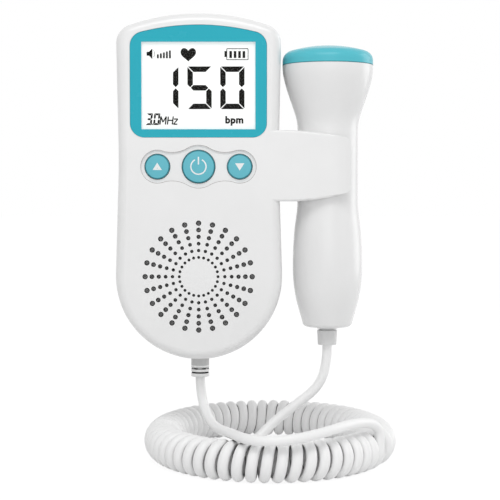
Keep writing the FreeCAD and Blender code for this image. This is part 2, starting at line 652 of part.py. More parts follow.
def rear_shell():
    solid = prism(case_outline(0), SPLIT_Y, 0)
    solid = solid.makeFillet(BACK_EDGE_RADIUS, edges_at_y(solid, 0))
    cavity = prism(case_outline(SIDE_WALL), SPLIT_Y - 1, INNER_BACK_Y)
    cavity = cavity.makeFillet(BACK_EDGE_RADIUS - SIDE_WALL, edges_at_y(cavity, INNER_BACK_Y))
    solid = solid.fuse(jaw(0.0, -1)).cut(cavity)

    bay = box(-BAY_HALF_WIDTH - BAY_WALL, BAY_HALF_WIDTH + BAY_WALL, BAY_FLOOR_Y - BAY_WALL,
              INNER_BACK_Y, BAY_BOTTOM_Z - BAY_WALL, BAY_TOP_Z + BAY_WALL)
    lip_edges = prism(case_outline(SIDE_WALL - LIP_THICKNESS), SPLIT_Y - LIP_HEIGHT, SPLIT_Y)
    lip = lip_edges.cut(prism(case_outline(SIDE_WALL), SPLIT_Y - LIP_HEIGHT - 1, SPLIT_Y + 1))
    added = [bay, lip]
    sink_radius = SCREW_HEAD_RADIUS + SCREW_CLEARANCE
    for x, z in case_screw_places():
        added.append(rod_y(x, z, sink_radius + BOSS_WALL, SPLIT_Y, INNER_BACK_Y))
    outside = prism(case_outline(0), SPLIT_Y - LIP_HEIGHT, 1)
    solid = solid.fuse(Part.makeCompound(added).common(outside)).removeSplitter()

    half = DOOR_HALF_WIDTH + DOOR_CLEARANCE
    removed = [
        box(-BAY_HALF_WIDTH, BAY_HALF_WIDTH, BAY_FLOOR_Y, INNER_BACK_Y - 0.1,
            BAY_BOTTOM_Z, BAY_TOP_Z),
        box(-half, half, -DOOR_THICKNESS - SLIP, 1,
            DOOR_BOTTOM_Z - DOOR_CLEARANCE, DOOR_TOP_Z + DOOR_CLEARANCE),
        gland_hole(),
    ]
    for x, z in case_screw_places():
        removed.append(rod_y(x, z, sink_radius, -SCREW_SINK_DEPTH, 1))
        removed.append(rod_y(x, z, SCREW_SHANK_RADIUS + SCREW_CLEARANCE, SPLIT_Y - 2, 0))
    return solid.cut(removed)


# ---------------------------------------------------------------- display
def display_bezel():
    solid = prism(bezel_outline(0), BEZEL_FRONT_Y, BEZEL_BACK_Y)
    solid = solid.cut(window_block(0, BEZEL_FRONT_Y - 1, BEZEL_BACK_Y + 1))
    rebate = window_block(LENS_OVERLAP + SLIP, LENS_FRONT_Y - SLIP / 2, BEZEL_BACK_Y + 1)
    return solid.cut(rebate)


def display_window():
    return window_block(LENS_OVERLAP, LENS_FRONT_Y, LENS_BACK_Y)


def lcd_panel():
    return window_block(LCD_BORDER, LCD_FRONT_Y, LCD_BACK_Y)


def lcd_backlight():
    return window_block(BACKLIGHT_BORDER, LCD_BACK_Y, BACKLIGHT_BACK_Y)


# ---------------------------------------------------------------- board and what is on it
def main_board():
    solid = box(-BOARD_HALF_WIDTH, BOARD_HALF_WIDTH, BOARD_FRONT_Y, BOARD_BACK_Y,
                BOARD_BOTTOM_Z, BOARD_TOP_Z)
    removed = [rod_y(x, z, PILLAR_RADIUS + FIT, BOARD_FRONT_Y - 1, BOARD_BACK_Y + 1)
               for x, z in case_screw_places()]
    for x, z in standoff_places():
        removed.append(rod_y(x, z, BOARD_SCREW_RADIUS + SLIP, BOARD_FRONT_Y - 1, BOARD_BACK_Y + 1))
    inside = prism(case_outline(SIDE_WALL + FIT), BOARD_FRONT_Y - 1, BOARD_BACK_Y + 1)
    return solid.cut(removed).common(inside)


def board_chips():
    """Processor, amplifier and regulator packages on the back of the board."""
    chips = []
    for x, z, width, height, thickness in CHIPS:
        chips.append(box(x - width / 2, x + width / 2, BOARD_BACK_Y, BOARD_BACK_Y + thickness,
                         z - height / 2, z + height / 2))
    return Part.makeCompound(chips)


def board_screws():
    screws = []
    for x, z in standoff_places():
        head = rod_y(x, z, BOARD_SCREW_HEAD_RADIUS, BOARD_BACK_Y,
                     BOARD_BACK_Y + BOARD_SCREW_HEAD_HEIGHT)
        shank = rod_y(x, z, BOARD_SCREW_RADIUS, BOARD_FRONT_Y - BOARD_SCREW_LENGTH, BOARD_BACK_Y)
        screws.append(head.fuse(shank).removeSplitter())
    return Part.makeCompound(screws)


def tact_switch(x):
    half = SWITCH_SIZE / 2
    solid = box(x - half, x + half, SWITCH_FRONT_Y, BOARD_FRONT_Y,
                BUTTON_Z - half, BUTTON_Z + half)
    stroke_end = SWITCH_FRONT_Y + SLIP + BUTTON_TRAVEL + FIT
    return solid.cut(rod_y(x, BUTTON_Z, PLUNGER_RADIUS + FIT, SWITCH_FRONT_Y - 1, stroke_end))


def headphone_jack():
    nose_end = -WAIST_HALF_WIDTH + FIT
    body_start = -WAIST_HALF_WIDTH + SIDE_WALL + FIT
    half = JACK_HALF_SIZE
    body = box(body_start, nose_end + JACK_LENGTH, JACK_Y - half, JACK_Y + half,
               JACK_Z - half, JACK_Z + half)
    nose = rod_x(JACK_Y, JACK_Z, JACK_NOSE_RADIUS, nose_end, body_start + 1)
    bore = rod_x(JACK_Y, JACK_Z, JACK_BORE_RADIUS, nose_end - 1, nose_end + JACK_BORE_LENGTH)
    return body.fuse(nose).removeSplitter().cut(bore)


# ---------------------------------------------------------------- buttons
def button(x, radius):
    """Round cap with a low crown, on a flange that stops against the inside of the case."""
    crown_edge_y = BUTTON_FACE_Y + BUTTON_CROWN
    stem = rod_y(x, BUTTON_Z, radius, crown_edge_y, FLANGE_BACK_Y)
    crown_radius = (radius ** 2 + BUTTON_CROWN ** 2) / (2 * BUTTON_CROWN)
    ball = Part.makeSphere(crown_radius, point(x, BUTTON_FACE_Y + crown_radius, BUTTON_Z))
    crown = ball.common(rod_y(x, BUTTON_Z, radius, BUTTON_FACE_Y - 1, crown_edge_y))
    cap = stem.fuse(crown).removeSplitter()
    rim = [edge for edge in cap.Edges
           if abs(edge.BoundBox.YMax - crown_edge_y) < 1e-3
           and abs(edge.BoundBox.YMin - crown_edge_y) < 1e-3]
    cap = cap.makeFillet(BUTTON_EDGE_RADIUS, rim)
    flange = rod_y(x, BUTTON_Z, radius + FLANGE_MARGIN, FLANGE_FRONT_Y, FLANGE_BACK_Y)
    return cap.fuse(flange).removeSplitter()


def plunger(x):
    return rod_y(x, BUTTON_Z, PLUNGER_RADIUS, FLANGE_BACK_Y, SWITCH_FRONT_Y + SLIP)


# ---------------------------------------------------------------- speaker
def speaker_dust_cloth():
    return rod_y(0, BOTTOM_CENTRE_Z, SPEAKER_RADIUS, INNER_FRONT_Y, CLOTH_BACK_Y)


def speaker_gasket():
    return ring_y(0, BOTTOM_CENTRE_Z, SPEAKER_RADIUS, SPEAKER_RADIUS - SPEAKER_RIM_WIDTH + FIT,
                  CLOTH_BACK_Y, GASKET_BACK_Y)


def cone_frustum(radius_front, radius_back, y0, y1):
    return Part.makeCone(radius_front, radius_back, y1 - y0, point(0, y0, BOTTOM_CENTRE_Z),
                         point(0, 1, 0))


def speaker_frame():
    inner = SPEAKER_RADIUS - SPEAKER_RIM_WIDTH
    rim = ring_y(0, BOTTOM_CENTRE_Z, SPEAKER_RADIUS, inner, GASKET_BACK_Y, RIM_BACK_Y)
    outside = cone_frustum(inner + BASKET_WALL, MAGNET_RADIUS + 1, RIM_BACK_Y, BASKET_BACK_Y)
    inside = cone_frustum(inner, MAGNET_RADIUS + 1 - BASKET_WALL, RIM_BACK_Y,
                          BASKET_BACK_Y - BASKET_WALL)
    return rim.fuse(outside.cut(inside)).removeSplitter()


def speaker_cone():
    """Paper cone that hangs from the rim, with its dust dome."""
    inner = SPEAKER_RADIUS - SPEAKER_RIM_WIDTH - FIT
    mouth_y = GASKET_BACK_Y + CONE_SKIN
    foot_y = RIM_BACK_Y + BASKET_DEPTH / 2
    outside = cone_frustum(inner, CONE_FOOT_RADIUS, mouth_y, foot_y)
    inside = cone_frustum(inner - CONE_SKIN, CONE_FOOT_RADIUS - CONE_SKIN, mouth_y, foot_y)
    dome = rod_y(0, BOTTOM_CENTRE_Z, CONE_DOME_RADIUS, foot_y - CONE_SKIN, foot_y)
    return outside.cut(inside).fuse(dome).removeSplitter()


def speaker_magnet():
    return rod_y(0, BOTTOM_CENTRE_Z, MAGNET_RADIUS, BASKET_BACK_Y,
                 BASKET_BACK_Y + MAGNET_THICKNESS)


# ---------------------------------------------------------------- battery bay
def battery(x, nub_up):
    start = CELL_BOTTOM_Z if nub_up else CELL_BOTTOM_Z + CELL_NUB_HEIGHT
    can = rod_z(x, CELL_Y, CELL_RADIUS, start, start + CELL_LENGTH)
    can = can.makeFillet(CELL_EDGE_RADIUS, [edge for edge in can.Edges if len(edge.Vertexes) == 1])
    nub_start = start + CELL_LENGTH if nub_up else CELL_BOTTOM_Z
    nub = rod_z(x, CELL_Y, CELL_NUB_RADIUS, nub_start, nub_start + CELL_NUB_HEIGHT)
    return can.fuse(nub).removeSplitter()


def battery_contact(x, wall_z, direction):
    """Plate on the end wall of the bay, with a bowed leaf that presses on the cell."""
    half = CONTACT_HALF_WIDTH
    plate_z = wall_z + direction * CONTACT_THICKNESS
    z0, z1 = sorted((wall_z, plate_z))
    plate = box(x - half, x + half, CELL_Y - half, CELL_Y + half, z0, z1)
    height = CONTACT_SPACE - CONTACT_THICKNESS - SLIP
    bow_half = CONTACT_BOW_HALF_WIDTH
    radius = (bow_half ** 2 + height ** 2) / (2 * height)
    centre_z = plate_z + direction * (height - radius)
    outer = rod_x(CELL_Y, centre_z, radius, x - bow_half, x + bow_half)
    inner = rod_x(CELL_Y, centre_z, radius - CONTACT_THICKNESS, x - half, x + half)
    far_z = wall_z + direction * (CONTACT_SPACE + 1)
    low, high = sorted((wall_z + direction * CONTACT_THICKNESS / 2, far_z))
    side = box(x - half, x + half, CELL_Y - half, CELL_Y + half, low, high)
    return plate.fuse(outer.cut(inner).common(side)).removeSplitter()


def battery_contacts():
    contacts = []
    for x in (-CELL_X, CELL_X):
        contacts.append(battery_contact(x, BAY_BOTTOM_Z, 1))
        contacts.append(battery_contact(x, BAY_TOP_Z, -1))
    return Part.makeCompound(contacts)


def battery_door():
    """Plate flush with the back face, with a hooking tab at its foot and grip grooves."""
    plate = box(-DOOR_HALF_WIDTH, DOOR_HALF_WIDTH, -DOOR_THICKNESS, 0,
                DOOR_BOTTOM_Z, DOOR_TOP_Z)
    half = DOOR_TAB_HALF_WIDTH
    tab_front = -BACK_WALL - DOOR_CLEARANCE - DOOR_TAB_THICKNESS
    root_z = DOOR_BOTTOM_Z + DOOR_TAB_ROOT
    tab = box(-half, half, tab_front, tab_front + DOOR_TAB_THICKNESS,
              DOOR_BOTTOM_Z - DOOR_TAB_LENGTH, root_z)
    web = box(-half, half, tab_front, -DOOR_THICKNESS, DOOR_BOTTOM_Z, root_z)
    latch_top = BAY_TOP_Z - FIT
    latch = box(-half, half, -DOOR_THICKNESS - DOOR_LATCH_DEPTH, -DOOR_THICKNESS,
                latch_top - DOOR_LATCH_THICKNESS, latch_top)
    solid = plate.fuse([tab, web, latch]).removeSplitter()
    grooves = []
    for i in range(DOOR_GROOVES):
        half_length = DOOR_GROOVE_HALF_LENGTH - i * DOOR_GROOVE_SHORTENING
        z = DOOR_TOP_Z - DOOR_GROOVE_TOP_MARGIN - i * DOOR_GROOVE_PITCH
        grooves.append(box(-half_length, half_length, -DOOR_GROOVE_DEPTH, 1,
                           z - DOOR_GROOVE_WIDTH / 2, z + DOOR_GROOVE_WIDTH / 2))
    return solid.cut(grooves)


def case_screws():
    screws = []
    for x, z in case_screw_places():
        head = rod_y(x, z, SCREW_HEAD_RADIUS, -SCREW_SINK_DEPTH,
                     -SCREW_SINK_DEPTH + SCREW_HEAD_HEIGHT)
        shank = rod_y(x, z, SCREW_SHANK_RADIUS, SPLIT_Y - SCREW_THREAD_LENGTH, -SCREW_SINK_DEPTH)
        floor_y = -SCREW_SINK_DEPTH + SCREW_HEAD_HEIGHT - SCREW_CROSS_DEPTH
        long, short = SCREW_CROSS_REACH, SCREW_CROSS_HALF_WIDTH
        cross = [box(x - long, x + long, floor_y, 0, z - short, z + short),
                 box(x - short, x + short, floor_y, 0, z - long, z + long)]
        screws.append(head.fuse(shank).removeSplitter().cut(cross))
    return Part.makeCompound(screws)


# ---------------------------------------------------------------- probe
def probe_half_outline(inset):
    """Half outline (radius, z) of the probe handle: rounded end, grip, neck, flared head."""
    def spline(points, start_tangent, end_tangent):
        curve = Part.BSplineCurve()
        curve.interpolate(Points=[point(r - inset, 0, z) for r, z in points],
                          InitialTangent=point(*start_tangent), FinalTangent=point(*end_tangent))
        return curve.toShape()

    end_z = PROBE_BOTTOM_Z + PROBE_END_ROUNDING
    end_radius = PROBE_END_RADIUS
    grip = [(end_radius, end_z), GRIP_LOW_POINT, (GRIP_RADIUS, GRIP_Z), GRIP_HIGH_POINT,
            (NECK_RADIUS, NECK_BOTTOM_Z)]
    head = [(NECK_RADIUS, NECK_TOP_Z), HEAD_LOW_POINT, HEAD_MIDDLE_POINT, HEAD_HIGH_POINT,
            (HEAD_RADIUS, HEAD_SEAM_Z)]
    foot_z = PROBE_BOTTOM_Z + inset
    foot_radius = end_radius - PROBE_END_ROUNDING - 0.2
    edges = [line((0, foot_z), (foot_radius, foot_z))]
    if inset == 0:
        edges.append(arc((foot_radius, foot_z), (end_radius - 0.55, foot_z + 0.5),
                         (end_radius, end_z)))
    else:
        edges.append(line((foot_radius, foot_z), (end_radius - inset, end_z + inset / 2)))
        grip[0] = (end_radius, end_z + inset / 2)
    edges += [
        spline(grip, (0.28, 0, 1), (0, 0, 1)),
        line((NECK_RADIUS - inset, NECK_BOTTOM_Z), (NECK_RADIUS - inset, NECK_TOP_Z)),
        spline(head, (0, 0, 1), (0, 0, 1)),
        line((HEAD_RADIUS - inset, HEAD_SEAM_Z), (0, HEAD_SEAM_Z)),
        line((0, HEAD_SEAM_Z), (0, foot_z)),
    ]
    return edges


def probe_halves():
    solid = turned(probe_half_outline(0), PROBE_AXIS_X, SPLIT_Y)
    hollow = turned(probe_half_outline(PROBE_WALL), PROBE_AXIS_X, SPLIT_Y)
    mouth = rod_z(PROBE_AXIS_X, SPLIT_Y, SPIGOT_RADIUS + SLIP,
                  HEAD_SEAM_Z - SPIGOT_LENGTH - SLIP, HEAD_SEAM_Z + 1)
    hole = rod_z(PROBE_AXIS_X, SPLIT_Y, GLAND_NECK_RADIUS + SLIP, PROBE_BOTTOM_Z - 1,
                 PROBE_BOTTOM_Z + PROBE_WALL + 1)
    shell = solid.cut([hollow, mouth, hole])
    reach = HEAD_RADIUS + 5
    z0, z1 = PROBE_BOTTOM_Z - 5, CAP_TOP_Z + 5
    x0, x1 = PROBE_AXIS_X - reach, PROBE_AXIS_X + reach
    front = shell.common(box(x0, x1, SPLIT_Y - reach, SPLIT_Y, z0, z1))
    rear = shell.common(box(x0, x1, SPLIT_Y, SPLIT_Y + reach, z0, z1))
    return front, rear


def probe_head_cap():
    """Domed contact face with a short skirt, and a spigot that plugs into the handle."""
    corner_x = HEAD_RADIUS - CAP_CORNER_RADIUS
    dome_centre = (0.0, CAP_TOP_Z - CAP_DOME_RADIUS)
    rise = math.sqrt((CAP_DOME_RADIUS - CAP_CORNER_RADIUS) ** 2 - corner_x ** 2)
    corner = (corner_x, dome_centre[1] + rise)
    dome_end = on_circle(dome_centre, CAP_DOME_RADIUS, corner)
    side_end = (HEAD_RADIUS, corner[1])
    bottom = HEAD_SEAM_Z + SLIP / 2
    dome_middle = on_circle(dome_centre, CAP_DOME_RADIUS, (dome_end[0] / 2, CAP_TOP_Z))
    outline = [
        line((0, bottom), (HEAD_RADIUS, bottom)),
        line((HEAD_RADIUS, bottom), side_end),
        arc(side_end, on_circle(corner, CAP_CORNER_RADIUS, (corner[0] + 1, corner[1] + 1)),
            dome_end),
        arc(dome_end, dome_middle, (0, CAP_TOP_Z)),
        line((0, CAP_TOP_Z), (0, bottom)),
    ]
    solid = turned(outline, PROBE_AXIS_X, SPLIT_Y)
    spigot = rod_z(PROBE_AXIS_X, SPLIT_Y, SPIGOT_RADIUS, HEAD_SEAM_Z - SPIGOT_LENGTH, bottom)
    inside = rod_z(PROBE_AXIS_X, SPLIT_Y, SPIGOT_RADIUS - SPIGOT_WALL,
                   HEAD_SEAM_Z - SPIGOT_LENGTH - 1, CAP_UNDERSIDE_Z)
    return solid.fuse(spigot).removeSplitter().cut([inside, seal_space(SLIP / 2)])


def seal_space(extra):
    """Ring that the seal fills, in the side of the spigot."""
    middle = HEAD_SEAM_Z - SPIGOT_LENGTH / 2
    half = SEAL_HALF_HEIGHT + extra
    outer = rod_z(PROBE_AXIS_X, SPLIT_Y, SPIGOT_RADIUS + SLIP / 2, middle - half, middle + half)
    inner = rod_z(PROBE_AXIS_X, SPLIT_Y, SPIGOT_RADIUS - SEAL_DEPTH - extra, middle - half, middle + half)
    return outer.cut(inner)


def holder_radius():
    return SPIGOT_RADIUS - SPIGOT_WALL - FIT


def crystal_pair():
    """Transmitting and receiving crystals: two half discs on the inside of the contact face."""
    disc = rod_z(PROBE_AXIS_X, SPLIT_Y, CRYSTAL_RADIUS, CAP_UNDERSIDE_Z - CRYSTAL_THICKNESS,
                 CAP_UNDERSIDE_Z)
    gap = box(PROBE_AXIS_X - CRYSTAL_GAP / 2, PROBE_AXIS_X + CRYSTAL_GAP / 2,
              SPLIT_Y - HEAD_RADIUS, SPLIT_Y + HEAD_RADIUS, 0, CAP_TOP_Z)
    return disc.cut(gap)


def crystal_holder():
    top = CAP_UNDERSIDE_Z - SLIP
    bottom = top - HOLDER_HEIGHT
    cup = rod_z(PROBE_AXIS_X, SPLIT_Y, holder_radius(), bottom, top)
    inside = rod_z(PROBE_AXIS_X, SPLIT_Y, holder_radius() - HOLDER_WALL, bottom + HOLDER_WALL,
                   top + 1)
    holes = [rod_z(PROBE_AXIS_X + x, SPLIT_Y, WIRE_RADIUS + FIT, bottom - 1, top)
             for x in (-WIRE_X, WIRE_X)]
    return cup.cut([inside] + holes)


def crystal_backing():
    top = CAP_UNDERSIDE_Z - CRYSTAL_THICKNESS - SLIP
    bottom = CAP_UNDERSIDE_Z - SLIP - HOLDER_HEIGHT + HOLDER_WALL
    return rod_z(PROBE_AXIS_X, SPLIT_Y, holder_radius() - HOLDER_WALL - SLIP, bottom, top)


def crystal_wires():
    top = CAP_UNDERSIDE_Z - SLIP - HOLDER_HEIGHT + HOLDER_WALL - SLIP
    return Part.makeCompound([
        rod_z(PROBE_AXIS_X + x, SPLIT_Y, WIRE_RADIUS, PROBE_BOARD_TOP_Z + SLIP / 2, top)
        for x in (-WIRE_X, WIRE_X)])


def probe_board():
    half = NECK_RADIUS - PROBE_WALL - FIT
    return box(PROBE_AXIS_X - half, PROBE_AXIS_X + half, SPLIT_Y - PROBE_BOARD_THICKNESS / 2,
               SPLIT_Y + PROBE_BOARD_THICKNESS / 2, PROBE_BOARD_TOP_Z - PROBE_BOARD_LENGTH,
               PROBE_BOARD_TOP_Z)


def gland(x, flange_z, top_z, end_z, top_radius, end_radius, grooves):
    """Strain relief: inner flange, neck through the wall, and a body with grooves outside."""
    flange = rod_z(x, SPLIT_Y, GLAND_FLANGE_RADIUS, flange_z, flange_z + GLAND_FLANGE_THICKNESS)
    neck = rod_z(x, SPLIT_Y, GLAND_NECK_RADIUS, top_z - 1, flange_z + 0.1)
    if top_radius == end_radius:
        body = rod_z(x, SPLIT_Y, top_radius, end_z, top_z)
    else:
        body = Part.makeCone(end_radius, top_radius, top_z - end_z, point(x, SPLIT_Y, end_z),
                             point(0, 0, 1))
    solid = body.fuse([neck, flange]).removeSplitter()
    for groove_z in grooves:
        outer = rod_z(x, SPLIT_Y, top_radius + 1, groove_z, groove_z + GLAND_GROOVE_WIDTH)
        inner = rod_z(x, SPLIT_Y, end_radius - GLAND_GROOVE_DEPTH, groove_z,
                      groove_z + GLAND_GROOVE_WIDTH)
        solid = solid.cut(outer.cut(inner))
    return solid


def main_cable_gland():
    return gland(0.0, MAIN_FLANGE_Z, GLAND_TOP_Z, GLAND_END_Z, GLAND_RADIUS, GLAND_RADIUS,
                 [GLAND_END_Z + height for height in MAIN_GLAND_GROOVES])


def probe_cable_gland():
    return gland(PROBE_AXIS_X, PROBE_FLANGE_Z, PROBE_GLAND_TOP_Z, PROBE_GLAND_END_Z,
                 PROBE_GLAND_TOP_RADIUS, PROBE_GLAND_END_RADIUS, [PROBE_GLAND_TOP_Z - PROBE_GLAND_GROOVE])


def probe_inner_cord():
    top = PROBE_BOARD_TOP_Z - PROBE_BOARD_LENGTH - SLIP
    bottom = PROBE_FLANGE_Z + GLAND_FLANGE_THICKNESS + SLIP / 2
    return rod_z(PROBE_AXIS_X, SPLIT_Y, CORD_DIAMETER / 2, bottom, top)


# ---------------------------------------------------------------- cord
def cord_tube(name, points, diameter):
    """Round tube along straight runs that are joined by the largest tangent arcs they allow."""
    points = [point(*p) for p in points]
    edges = []
    radii = []
    start = points[0]
    for before, corner, after in zip(points, points[1:], points[2:]):
        into = corner.sub(before)
        out = after.sub(corner)
        reach = 0.45 * min(into.Length, out.Length)
        half_turn = into.getAngle(out) / 2
        radii.append(reach / math.tan(half_turn))
        into.normalize()
        out.normalize()
        a = corner.sub(into * reach)
        b = corner.add(out * reach)
        inward = out.sub(into)
        inward.normalize()
        middle = corner.add(inward * (radii[-1] / math.cos(half_turn) - radii[-1]))
        edges.append(Part.LineSegment(start, a).toShape())
        edges.append(Part.Arc(a, middle, b).toShape())
        start = b
    edges.append(Part.LineSegment(start, points[-1]).toShape())
    path = Part.Wire(edges)
    direction = points[1].sub(points[0])
    circle = Part.Wire([Part.makeCircle(diameter / 2, points[0], direction)])
    tube = path.makePipeShell([circle], True, False)
    expected = math.pi * (diameter / 2) ** 2 * path.Length
    print(name, "length", round(path.Length, 1), "smallest radius in diameters",
          round(min(radii) / diameter, 2), "volume over section times length",
          round(tube.Volume / expected, 4), "valid", tube.isValid())
    return tube


def cord_coil():
    """Oval ring that the coiled cord fills, lying flat."""
    centre = point(*COIL_CENTRE)
    back = centre.add(point(0, COIL_HALF_DEPTH, 0))
    right = centre.add(point(COIL_HALF_WIDTH, 0, 0))
    path = Part.Wire([Part.Ellipse(back, right, centre).toShape()])
    circle = Part.Wire([Part.makeCircle(COIL_TUBE_RADIUS, back, point(1, 0, 0))])
    return path.makePipeShell([circle], True, False)


# ---------------------------------------------------------------- build
def save(name, shape):
    solids = shape.Solids
    if not shape.isValid() or not solids:
        raise ValueError(name + " is not a valid solid")
    result = solids[0] if len(solids) == 1 else Part.makeCompound(solids)
    result.exportStep("parts/" + name + ".step")
    print(name, len(solids), round(result.Volume, 1))


def main():
    os.makedirs("parts", exist_ok=True)
    save("front_shell", front_shell())
    save("rear_shell", rear_shell())
    save("display_bezel", display_bezel())
    save("display_window", display_window())
    save("lcd_panel", lcd_panel())
    save("lcd_backlight", lcd_backlight())
    save("main_board", main_board())
    save("board_chips", board_chips())
    save("board_screws", board_screws())
    for name, x, radius in (("up", -BUTTON_SPACING, SMALL_BUTTON_RADIUS),
                            ("power", 0.0, POWER_BUTTON_RADIUS),
                            ("down", BUTTON_SPACING, SMALL_BUTTON_RADIUS)):
        save(name + "_button", button(x, radius))
        save(name + "_plunger", plunger(x))
        save(name + "_switch", tact_switch(x))
    save("speaker_dust_cloth", speaker_dust_cloth())
    save("speaker_gasket", speaker_gasket())
    save("speaker_frame", speaker_frame())
    save("speaker_cone", speaker_cone())
    save("speaker_magnet", speaker_magnet())
    save("battery_left", battery(-CELL_X, True))
    save("battery_right", battery(CELL_X, False))
    save("battery_contacts", battery_contacts())
    save("battery_door", battery_door())
    save("headphone_jack", headphone_jack())
    save("case_screws", case_screws())
    save("main_cable_gland", main_cable_gland())
    save("main_wires", cord_tube("main_wires", WIRE_BUNDLE_POINTS, WIRE_BUNDLE_DIAMETER))

    front, rear = probe_halves()
    save("probe_front_half", front)
    save("probe_rear_half", rear)
    save("probe_head_cap", probe_head_cap())
    save("probe_seal", seal_space(0))
    save("crystal_pair", crystal_pair())
    save("crystal_holder", crystal_holder())
    save("crystal_backing", crystal_backing())
    save("crystal_wires", crystal_wires())
    save("probe_board", probe_board())
    save("probe_inner_cord", probe_inner_cord())
    save("probe_cable_gland", probe_cable_gland())

    save("cord_main_lead", cord_tube("cord_main_lead", MAIN_LEAD_POINTS, CORD_DIAMETER))
    save("cord_probe_lead", cord_tube("cord_probe_lead", PROBE_LEAD_POINTS, CORD_DIAMETER))
    save("cord_coil", cord_coil())


main()
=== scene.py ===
"""Fetal doppler monitor: materials, display marks, button symbols and the curly cord, on the shapes
of the CAD model. X runs across the console, Z runs up it, and its front faces -Y. Places and sizes
are in metres, or in millimetres where a heading says so.
"""

import math

import bpy
import bmesh
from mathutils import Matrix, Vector


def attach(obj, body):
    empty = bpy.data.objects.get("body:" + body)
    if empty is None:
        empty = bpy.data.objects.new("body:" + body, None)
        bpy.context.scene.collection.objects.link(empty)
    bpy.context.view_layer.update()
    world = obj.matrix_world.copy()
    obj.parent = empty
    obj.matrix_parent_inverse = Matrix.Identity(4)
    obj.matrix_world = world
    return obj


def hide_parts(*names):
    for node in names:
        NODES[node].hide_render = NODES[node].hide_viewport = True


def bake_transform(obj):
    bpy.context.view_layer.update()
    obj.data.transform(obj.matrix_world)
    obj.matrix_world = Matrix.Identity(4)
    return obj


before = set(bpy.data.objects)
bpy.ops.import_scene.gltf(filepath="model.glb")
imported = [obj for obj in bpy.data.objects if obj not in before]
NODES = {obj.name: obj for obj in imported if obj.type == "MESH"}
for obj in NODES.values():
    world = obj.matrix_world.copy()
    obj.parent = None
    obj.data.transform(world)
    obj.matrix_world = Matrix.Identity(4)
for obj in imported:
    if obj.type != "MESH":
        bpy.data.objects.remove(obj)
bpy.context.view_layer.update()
MM = 0.001

# ---------------------------------------------------------------- camera, its lens and sensor in mm
CAMERA_PLACE = (0.0200, -0.5550, -0.0032)
CAMERA_DROP = 55 / 1350  # how far the view drops for each metre ahead
CAMERA_LENS = 97.2
CAMERA_SENSOR_WIDTH = 36.0
CAMERA_NEAREST = 0.01

# ---------------------------------------------------------------- light and floor, with power in W
WORLD_LEVEL = 0.534
LAMPS = [
    # name, place, aimed at, width and height, power
    ("front", (0.05, -0.90, 0.15), (0.02, -0.015, -0.01), (0.5, 0.5), 0.58),
    ("key", (0.02, -0.46, 0.50), (0.02, -0.015, -0.01), (0.5, 0.3), 1.56),
    ("right_strip", (0.80, 0.30, 0.10), (0.04, -0.015, 0.0), (0.45, 0.9), 2.30),
]
FLOOR_REACH = 6.0
FLOOR_DROP = 0.0076  # below the middle of the coil's turns
FLOOR_GREY = 0.85
FLOOR_ROUGHNESS = 0.9
FLOOR_GLOW = 1.18
FLOOR_GLOW_SHARE = 0.75  # the rest is lit by the lamps and keeps the shadow

# ---------------------------------------------------------------- colours, linear
CASE_WHITE = (0.87, 0.87, 0.87)
PROBE_WHITE = (0.875, 0.875, 0.875)
TEAL = (0.022, 0.440, 0.550)
TEAL_CAP = (0.100, 0.545, 0.640)
TEAL_BUTTON = (0.115, 0.500, 0.600)
LCD_WHITE = (0.90, 0.91, 0.90)
MARK_DARK = (0.012, 0.011, 0.010)
SYMBOL_WHITE = (0.88, 0.90, 0.90)
CORD_WHITE = (0.96, 0.96, 0.96)
# one grey for the cable glands in two copies: the main gland's is darker, a painted shade for the
# shadow the case casts on it, and the probe gland's lighter
GLAND_SHADED_GREY = (0.60, 0.60, 0.60)
GLAND_LIT_GREY = (0.76, 0.76, 0.76)
BOARD_GREEN = (0.015, 0.13, 0.05)
TRACK_GREEN = (0.03, 0.21, 0.08)

# ---------------------------------------------------------------- surfaces, with depths in mm
NOISE_RANGE = (0.3, 0.7)  # holds most of a noise texture's values
TINT_DRIFT = 0.015
TINT_DRIFT_SCALE = 45.0
GLOSS_DRIFT = 0.08
GLOSS_DRIFT_SCALE = 160.0
COAT_ROUGHNESS = 0.12
# painted shade: the colour darkens in crevices where a piece stands close to itself
CREVICE_REACH = 6.0  # how far off, in mm, the same piece still counts as close
CREVICE_OPENNESS = (0.15, 0.4)  # fully dark below the first, and not dark above the second
CREVICE_SHADE = 0.10
METAL_MARK_SCALE = 900.0
METAL_MARK_DEPTH = 0.01
METAL_MARK_SHADE = 0.9
METAL_ROUGHNESS_SPAN = (0.8, 1.25)  # as shares of the metal's roughness
WEAVE_SCALE = 900.0
WEAVE_DEPTH = 0.05
WEAVE_SHADE = 0.5
TRACK_SCALE = 260.0
TRACK_EDGE = (0.35, 0.5)
TRACK_DEPTH = 0.03
GLASS_DRIFT_SCALE = 60.0
ACRYLIC_DRIFT_SCALE = 120.0
ACRYLIC_ROUGHNESS = (0.03, 0.06)
ACRYLIC_IOR = 1.49

